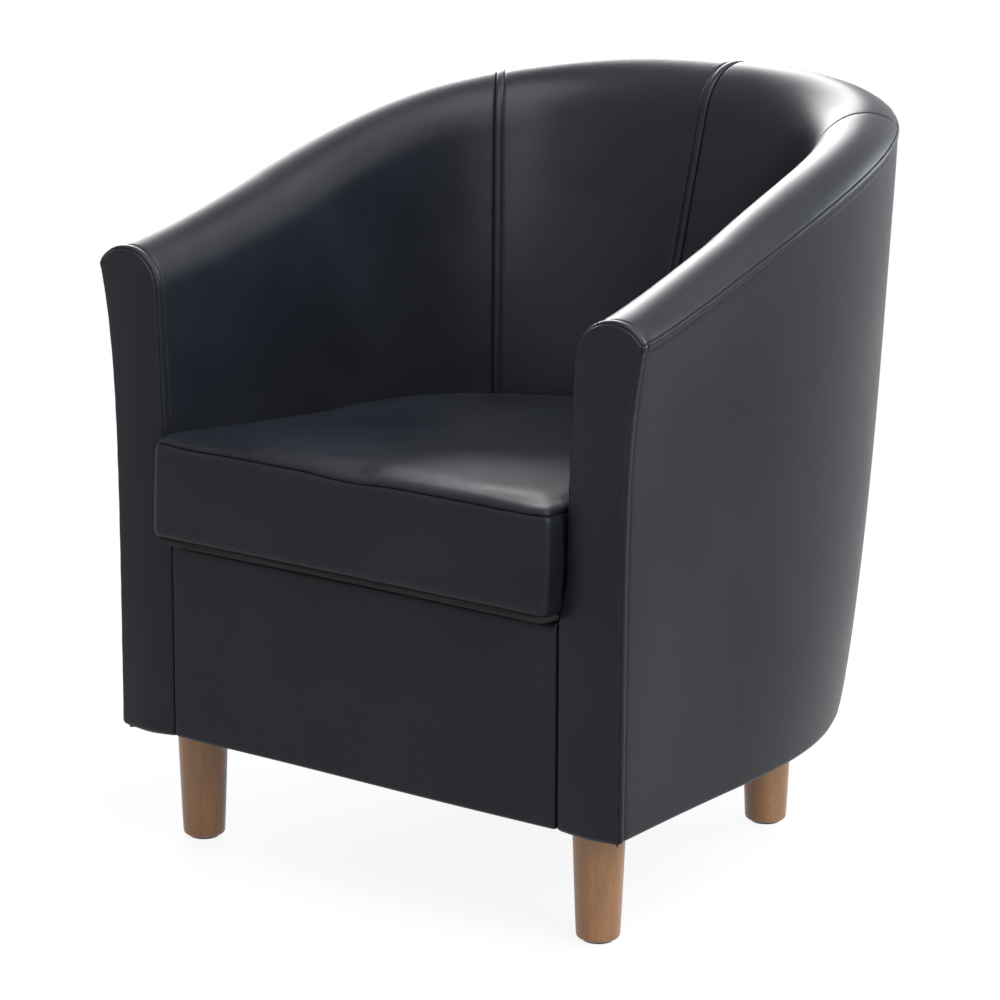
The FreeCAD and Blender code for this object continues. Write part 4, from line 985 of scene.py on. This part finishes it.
def inflated(points, faces):
    """Where a closed cloth of these quads comes to rest under inner pressure, in the cushion's frame."""
    mesh = bpy.data.meshes.new("cushion_blank")
    mesh.from_pydata(points.tolist(), [], faces.tolist())
    blank = bpy.data.objects.new("cushion_blank", mesh)
    bpy.context.scene.collection.objects.link(blank)
    cloth = blank.modifiers.new("cloth", "CLOTH")
    cloth.settings.quality = 8
    cloth.settings.mass = 0.35
    cloth.settings.tension_stiffness = 40.0
    cloth.settings.compression_stiffness = 40.0
    cloth.settings.shear_stiffness = 12.0
    cloth.settings.bending_stiffness = 0.8
    cloth.settings.use_pressure = True
    cloth.settings.uniform_pressure_force = 3.0
    cloth.settings.effector_weights.gravity = 0.0
    cloth.collision_settings.use_collision = False
    cloth.point_cache.frame_start, cloth.point_cache.frame_end = 1, CLOTH_FRAMES
    scene = bpy.context.scene
    for number in range(1, CLOTH_FRAMES + 1):
        scene.frame_set(number)
    settled = blank.evaluated_get(bpy.context.evaluated_depsgraph_get()).data
    out = np.empty(len(points) * 3)
    settled.vertices.foreach_get("co", out)
    scene.frame_set(1)
    bpy.data.objects.remove(blank)
    return out.reshape(-1, 3)


EVERY = 4
coarse_inset = np.concatenate([[0, 0.005, 0.011], np.linspace(0.02, 0.2249, 22)])
top_rings = panel_rings(coarse_inset, crown_height)[:, ::EVERY]
low_rings = panel_rings(coarse_inset, under_height)[:, ::EVERY]
side_rings = border_rings(np.linspace(SEAM_LOW, SEAM_HIGH, 13))[:, ::EVERY]
blank = np.concatenate([low_rings[::-1], side_rings[1:-1], top_rings])
blank_points, blank_faces = closed_rings(blank)
swollen = inflated(blank_points, blank_faces)
shift = swollen - blank_points


def held(values, low, high):
    """Values bent smoothly into a range round zero."""
    return np.where(values > 0, high * np.tanh(values / high), -low * np.tanh(-values / low))


# The cloth may draw in by a little, and swell out only where it is free: ahead of the arms and upwards.
DRAWN_IN, SWELL_BESIDE, SWELL_AHEAD = 0.004, 0.0009, 0.0045
SUNK, LIFTED = 0.0025, 0.006
ahead = np.clip((0.02 - blank_points[:, 1]) / 0.03, 0, 1)[:, None]
level = blank_points[:, 2:] / SEAM_HIGH
outward = blank_points[:, :2] - plan_mid
outward = outward / np.maximum(np.linalg.norm(outward, axis=1, keepdims=True), 1e-6)
push = (shift[:, :2] * outward).sum(1, keepdims=True)
push = held(push, DRAWN_IN, SWELL_BESIDE + SWELL_AHEAD * ahead)
lift = held(shift[:, 2:], SUNK, LIFTED) * np.clip(level * 1.6 - 0.6, 0, 1)
shift = np.concatenate([outward * push, lift], 1)
NEAR = 0.009


def puffed(rings):
    """Rings moved as the cloth moved there, by a smooth mean over the blank's points near each."""
    out = np.empty_like(rings)
    for row, ring in enumerate(rings):
        apart = ((ring ** 2).sum(1)[:, None] + (blank_points ** 2).sum(1)[None]
                 - 2 * ring @ blank_points.T)
        weight = np.exp(-apart / (2 * NEAR ** 2)) + 1e-12
        out[row] = ring + (weight @ shift) / weight.sum(1, keepdims=True)
    return out


RING_STEPS = np.array([0, 0.4, 0.8, 1.3, 1.9, 2.6, 3.4, 4.4, 5.6, 7.0, 8.6, 10.5, 13, 16, 20, 25, 30]) / 1000
top_inset = np.concatenate([RING_STEPS, np.linspace(0.037, 0.2225, 27)])
around = lengths(np.concatenate([plan_loop, plan_loop[:1]]))[:-1]


def ring_facing(rings, towards):
    """Unit normals of closed rings, all on the side that the given directions point to."""
    normal = np.cross(np.roll(rings, -1, 1) - np.roll(rings, 1, 1), np.gradient(rings, axis=0))
    normal /= np.maximum(np.linalg.norm(normal, axis=2, keepdims=True), 1e-12)
    return normal * np.sign((normal * towards).sum(2).mean())


def wrapped_cover(name, rings, facing, dark, replaced, material=COVER, slot_name="black_leather",
                  closed=True):
    """A cover of rings with its thickness. A closed one is capped at its last ring."""
    rows, columns = rings.shape[:2]
    inner = rings - facing * LEATHER
    points = np.concatenate([rings.reshape(-1, 3), inner.reshape(-1, 3)])
    shift_by = rows * columns
    skin = grid_faces(rows, columns, around=True)
    edge = np.arange(columns)
    after = np.roll(edge, -1)
    faces = [skin, skin[:, ::-1] + shift_by, np.stack([edge, edge + shift_by, after + shift_by, after], -1)]
    last = (rows - 1) * columns
    if closed:
        faces += [cap(columns, last), cap(columns, last + shift_by)[:, ::-1]]
    else:
        faces.append(np.stack([edge, after, after + shift_by, edge + shift_by], -1) + last)
    faces = np.concatenate(faces)
    made = mesh_piece(name, seated(points), outwards(points, faces), material, "cushion", slot_name)
    mark_seam_shade(made, dark)
    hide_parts(replaced)


def inset_seam(distance):
    """Height beside a seam sewn deep between two rolled edges: a sharp dip, then a low roll."""
    return (-0.0030 * np.exp(-(distance / 0.0024) ** 1.3)
            + 0.0006 * np.exp(-((distance - 0.011) / 0.006) ** 2))


# Painted shade in the cushion's inset seam grooves, as a darkness beside each seam.
def seam_shade(distance):
    return np.exp(-(distance / 0.0013) ** 4)


def sagged(points, seed):
    """Low uneven waves of a filled cover that has been sat on."""
    phase = np.random.default_rng(seed).uniform(0, 6.28, 6)
    across, behind = points[..., 0], points[..., 1]
    return 0.0007 * (np.sin(across / 0.043 + phase[0]) * np.sin(behind / 0.052 + phase[1])
                     + 0.7 * np.sin((across + behind) / 0.031 + phase[2])
                     + 0.5 * np.sin((across - 0.7 * behind) / 0.024 + phase[3]))


rings = puffed(panel_rings(top_inset, crown_height))
facing = ring_facing(rings, np.array([0, 0, 1.0]))
distance = np.repeat(top_inset[:, None], LOOP, 1)
along = np.repeat(around[None], len(top_inset), 0)
height = (inset_seam(distance) + 2.2 * puckers(along, distance, 51)
          + sagged(rings, 52) * np.clip(distance / 0.04, 0, 1))
outer = rings + facing * height[..., None]
wrapped_cover("seat_top", outer, facing, seam_shade(distance), "cushion_top")

side_steps = np.concatenate([SEAM_LOW + RING_STEPS[:12], np.linspace(SEAM_LOW + 0.015, SEAM_HIGH - 0.015, 12),
                             SEAM_HIGH - RING_STEPS[:12][::-1]])
rings = puffed(border_rings(side_steps))
outward_way = np.concatenate([hub / hub_reach[:, None], np.zeros((LOOP, 1))], 1)
facing = ring_facing(rings, outward_way[None])
to_high = np.repeat(SEAM_HIGH - side_steps[:, None], LOOP, 1)
to_low = np.repeat(side_steps[:, None] - SEAM_LOW, LOOP, 1)
along = np.repeat(around[None], len(side_steps), 0)
height = (inset_seam(to_high) + inset_seam(to_low) + 1.4 * puckers(along, to_high, 53)
          + 1.2 * puckers(along, to_low, 54))
height = np.minimum(height, 0.0004 + 0.002 * np.clip(-rings[..., 1] / 0.02, 0, 1))
outer = rings + facing * height[..., None]
dark = seam_shade(to_high) + seam_shade(to_low)
wrapped_cover("seat_border", outer, facing, dark, "cushion_border", closed=False)

low_inset = np.concatenate([RING_STEPS, np.linspace(0.04, 0.2225, 14)])
rings = puffed(panel_rings(low_inset, under_height))
facing = ring_facing(rings, np.array([0, 0, -1.0]))
distance = np.repeat(low_inset[:, None], LOOP, 1)
height = inset_seam(distance) * np.clip(1 - distance / 0.03, 0, 1)
outer = rings + facing * np.minimum(height, 0)[..., None]
outer[..., 2] = np.maximum(outer[..., 2], 0.0)
wrapped_cover("seat_underside", outer, facing, seam_shade(distance), "cushion_bottom", PLATFORM_CLOTH,
              "deck_cloth")

# The foam core is the same form, smaller by CORE all round.
CORE = 0.0065
core_low = panel_rings(np.concatenate([[0], np.linspace(0.01, 0.22, 12)]), under_height)[:, ::EVERY]
core_high = np.concatenate([[0, 0.004, 0.009], np.linspace(0.015, 0.22, 14)])
core_high = panel_rings(core_high, crown_height)[:, ::EVERY]
core_side = border_rings(np.linspace(SEAM_LOW, SEAM_HIGH, 10))[:, ::EVERY]
core = np.concatenate([core_low[::-1], core_side[1:-1], core_high])
flat_out = core[..., :2] - plan_mid
reach_out = np.linalg.norm(flat_out, axis=2, keepdims=True)
core[..., :2] = plan_mid + flat_out * np.clip(1 - CORE / np.maximum(reach_out, 0.02), 0.2, 1)
mid_level = (SEAM_LOW + SEAM_HIGH) / 2
core[..., 2] = mid_level + (core[..., 2] - mid_level) * (1 - CORE / (mid_level + SEAM_LOW))
core_points, core_faces = closed_rings(puffed(core))
seat_core = mesh_piece("seat_core", seated(core_points), core_faces, FOAM, "cushion", "foam")
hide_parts("cushion_foam")


# Zip: nylon tape round the back of the border, with two rows of coil teeth and a metal slider, so that
# the cover comes off. The slider runs along the teeth.
dress(["cushion_zip"], woven("zip_tape", (0.004, 0.004, 0.004), (0.014, 0.014, 0.015), 0.0008, 0.8))
dress(["zip_slider"], bright_steel("slider_zinc", (0.50, 0.50, 0.49), 0.32))
# The tape's round: centre behind the arm fronts, half its sweep, and its outer radius. The teeth stop a
# little short of its ends.
ZIP_CENTRE, TAPE_SWEEP, TEETH_SWEEP = 0.2, math.radians(28.0), math.radians(27.5)
ZIP_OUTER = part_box("cushion_zip")[1].x / math.sin(TAPE_SWEEP)
# Width, depth and height of a tooth, their pitch, and how far the two rows stand apart and proud.
TOOTH, TOOTH_PITCH = np.array([0.0009, 0.00028, 0.0026]), 0.0017
ROW_APART, TOOTH_PROUD = 0.0008, 0.00015
tooth_turn = np.arange(-TEETH_SWEEP, TEETH_SWEEP, TOOTH_PITCH / ZIP_OUTER)
tooth_side = np.where(np.arange(len(tooth_turn)) % 2 == 0, 1.0, -1.0)
corner = np.array([[a, b, c] for a in (-1, 1) for b in (-1, 1) for c in (-1, 1)], float) * 0.5
local = corner * TOOTH
turn = tooth_turn[:, None] + local[None, :, 0] / ZIP_OUTER
reach = ZIP_OUTER + TOOTH_PROUD + local[None, :, 1]
level = mid_level + tooth_side[:, None] * ROW_APART + local[None, :, 2]
tooth_points = np.stack([-reach * np.sin(turn), ZIP_CENTRE + reach * np.cos(turn), level + 0 * turn], -1)
box_faces = np.array([[0, 1, 3, 2], [4, 6, 7, 5], [0, 4, 5, 1], [2, 3, 7, 6], [0, 2, 6, 4], [1, 5, 7, 3]])
faces = (box_faces[None] + 8 * np.arange(len(tooth_turn))[:, None, None]).reshape(-1, 4)
nylon, _ = new_material("zip_teeth", {"Base Color": (0.012, 0.012, 0.013, 1.0), "Roughness": 0.4})
mesh_piece("zip_teeth", seated(tooth_points).reshape(-1, 3), faces, nylon, "cushion", "zip_tape")


# Legs: four turned beech legs with a slight taper and a softened foot, lacquered clear, each on a plastic
# glide.
def turned_beech():
    material, shader = new_material("turned_beech", {"Roughness": 0.42, "Specular IOR Level": 0.4,
                                                     "Coat Weight": 0.25, "Coat Roughness": 0.25})
    where = coordinates(material, (60.0, 60.0, 5.5))
    grain = add(material, "ShaderNodeTexNoise", {
        "Vector": where, "Scale": 1.0, "Detail": 5.0, "Roughness": 0.55, "Distortion": 0.35})
    flecks = add(material, "ShaderNodeTexNoise", {
        "Vector": coordinates(material, (900.0, 900.0, 120.0)), "Scale": 1.0, "Detail": 2.0})
    tint = ramp(material, grain.outputs["Fac"], [(0.30, (0.21, 0.100, 0.040)), (0.50, (0.268, 0.132, 0.056)),
                                                 (0.72, (0.318, 0.164, 0.074))])
    fleck = ramp(material, flecks.outputs["Fac"], [(0.60, (1.0, 1.0, 1.0)), (0.70, (0.78, 0.70, 0.62))])
    mixed = add(material, "ShaderNodeMix", {"Factor": 1.0, MIX_A: tint, MIX_B: fleck},
                data_type="RGBA", blend_type="MULTIPLY")
    link(material, mixed.outputs[MIX_RESULT], shader.inputs["Base Color"])
    bumped(material, shader, grain.outputs["Fac"], 0.15, 0.0003)
    return material


BEECH = turned_beech()
LEG_RADII, LEG_ROUND = (0.0258, 0.0213), 0.004
LEG_SIDES = 96
turn = np.linspace(0, 2 * np.pi, LEG_SIDES + 1)[:-1]
for name in ("front_left", "front_right", "rear_left", "rear_right"):
    leg_low, leg_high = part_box(f"leg_{name}")
    centre = (leg_low + leg_high) / 2
    bend = np.linspace(0, np.pi / 2, 8)
    rise = np.linspace(0, 1, 30)
    radius = LEG_RADII[1] + (LEG_RADII[0] - LEG_RADII[1]) * rise ** 0.9
    profile = np.concatenate([
        np.stack([LEG_RADII[1] - LEG_ROUND + LEG_ROUND * np.sin(bend),
                  leg_low.z + LEG_ROUND * (1 - np.cos(bend))], -1),
        np.stack([radius[1:-1],
                  leg_low.z + LEG_ROUND + (leg_high.z - leg_low.z - LEG_ROUND) * rise[1:-1]], -1),
        [[LEG_RADII[0], leg_high.z - 0.0012], [LEG_RADII[0] - 0.0009, leg_high.z - 0.0003],
         [LEG_RADII[0] - 0.003, leg_high.z]]])
    rings = np.stack([centre.x + profile[:, :1] * np.cos(turn), centre.y + profile[:, :1] * np.sin(turn),
                      np.repeat(profile[:, 1:], LEG_SIDES, 1)], -1)
    leg = mesh_piece(f"turned_leg_{name}", *closed_rings(rings), BEECH, "root", "beech")
    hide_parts(f"leg_{name}")

glide_plastic, _ = new_material("glide_plastic", {"Base Color": (0.035, 0.030, 0.027, 1.0),
                                                  "Roughness": 0.55})
dress(["leg_glides"], glide_plastic)


# Studio: a floor and a surround that the camera and reflections see as white, though the floor still
# shows the chair's shadow, and four soft lamps: one at the right, one overhead and two behind.
FLOOR_LEVEL, FLOOR_REACH = -0.0004, 30.0
SHADOW_SHARE, SHADOW_NEAR, SHADOW_FAR = 0.10, 0.5, 1.6


def ray_for_looks(owner):
    """1 for the rays that the picture shows directly, in glass or in a reflection, otherwise 0."""
    path = add(owner, "ShaderNodeLightPath")
    seen = add(owner, "ShaderNodeMath", {0: path.outputs["Is Camera Ray"], 1: path.outputs["Is Glossy Ray"]},
               operation="MAXIMUM")
    return add(owner, "ShaderNodeMath", {0: seen.outputs[0], 1: path.outputs["Is Transmission Ray"]},
               operation="MAXIMUM").outputs[0]


def studio_floor():
    """White light with a share of white paint, whose shadow fades away from the chair."""
    material = bpy.data.materials.new("studio_floor")
    material.use_nodes = True
    material.node_tree.nodes.clear()
    white = add(material, "ShaderNodeEmission", {"Color": (1, 1, 1, 1), "Strength": 1.0})
    matt = add(material, "ShaderNodeBsdfDiffuse", {"Color": (1.0, 1.0, 1.0, 1)})
    plain = add(material, "ShaderNodeBsdfDiffuse", {"Color": (0.55, 0.55, 0.55, 1)})
    where = add(material, "ShaderNodeTexCoord")
    away = add(material, "ShaderNodeVectorMath", {0: where.outputs["Object"]}, operation="LENGTH")
    near = add(material, "ShaderNodeMapRange", {
        "Value": away.outputs["Value"], "From Min": SHADOW_NEAR, "From Max": SHADOW_FAR,
        "To Min": SHADOW_SHARE, "To Max": 0.0}, interpolation_type="SMOOTHSTEP")
    pale = add(material, "ShaderNodeMixShader", {"Fac": near.outputs["Result"], 1: white.outputs[0],
                                                 2: matt.outputs[0]})
    both = add(material, "ShaderNodeMixShader", {"Fac": ray_for_looks(material), 1: plain.outputs[0],
                                                 2: pale.outputs[0]})
    add(material, "ShaderNodeOutputMaterial", {"Surface": both.outputs[0]})
    return material


def lamp(name, spot, aim, size, power, tint=(1.0, 1.0, 1.0)):
    """A square area light at a spot, pointed at an aim."""
    light = bpy.data.lights.new(name, "AREA")
    light.size, light.energy, light.color = size, power, tint
    made = bpy.data.objects.new(name, light)
    made.location = spot
    made.rotation_euler = (Vector(aim) - Vector(spot)).to_track_quat("-Z", "Y").to_euler()
    bpy.context.scene.collection.objects.link(made)


floor_mesh = bpy.data.meshes.new("studio_floor")
floor_corners = [(x * FLOOR_REACH, y * FLOOR_REACH, FLOOR_LEVEL)
                 for x, y in ((-1, -1), (1, -1), (1, 1), (-1, 1))]
floor_mesh.from_pydata(floor_corners, [], [(0, 1, 2, 3)])
floor_mesh.materials.append(studio_floor())
floor = bpy.data.objects.new("studio_floor", floor_mesh)
bpy.context.scene.collection.objects.link(floor)

world = bpy.data.worlds.new("studio")
bpy.context.scene.world = world
world.use_nodes = True
world.node_tree.nodes.clear()
strength = add(world, "ShaderNodeMapRange", {"Value": ray_for_looks(world), "To Min": 0.50, "To Max": 1.0})
surround = add(world, "ShaderNodeBackground", {"Color": (1.0, 1.0, 1.0, 1.0),
                                               "Strength": strength.outputs["Result"]})
add(world, "ShaderNodeOutputWorld", {"Surface": surround.outputs[0]})

lamp("key_light", (3.3, -0.9, 2.3), (0.0, 0.0, 0.4), 1.8, 75.0)
lamp("rim_light_left", (-2.6, 2.7, 1.7), (0.0, 0.0, 0.6), 2.2, 190.0)
lamp("rim_light_right", (1.3, 3.3, 1.75), (0.0, 0.0, 0.7), 1.7, 100.0, (0.88, 0.93, 1.0))
lamp("top_light", (1.1, -0.1, 3.1), (0.0, 0.0, 0.4), 2.2, 100.0)
bpy.context.scene.view_settings.view_transform = "Standard"


# Camera: a long lens from the front right, from a fit of the photograph's outline, seams and legs.
VIEW_TURN, VIEW_RISE, VIEW_ROLL = (math.radians(angle) for angle in (36.957, 14.29, 0.246))
VIEW_FROM, FILM_WIDTH, FOCAL_SHARE = (2.34633, -3.22015, 1.35203), 36.0, 4.028555
back = Vector((math.sin(VIEW_TURN) * math.cos(VIEW_RISE), -math.cos(VIEW_TURN) * math.cos(VIEW_RISE),
               math.sin(VIEW_RISE)))
right = Vector((math.cos(VIEW_TURN), math.sin(VIEW_TURN), 0.0))
up = back.cross(right)
rolled_right = math.cos(VIEW_ROLL) * right + math.sin(VIEW_ROLL) * up
rolled_up = math.cos(VIEW_ROLL) * up - math.sin(VIEW_ROLL) * right
lens = bpy.data.cameras.new("camera")
lens.sensor_fit, lens.sensor_width, lens.lens = "HORIZONTAL", FILM_WIDTH, FILM_WIDTH * FOCAL_SHARE
camera = bpy.data.objects.new("camera", lens)
turned = Matrix((rolled_right, rolled_up, back)).transposed()
camera.matrix_world = Matrix.Translation(VIEW_FROM) @ turned.to_4x4()
bpy.context.scene.collection.objects.link(camera)
bpy.context.scene.camera = camera
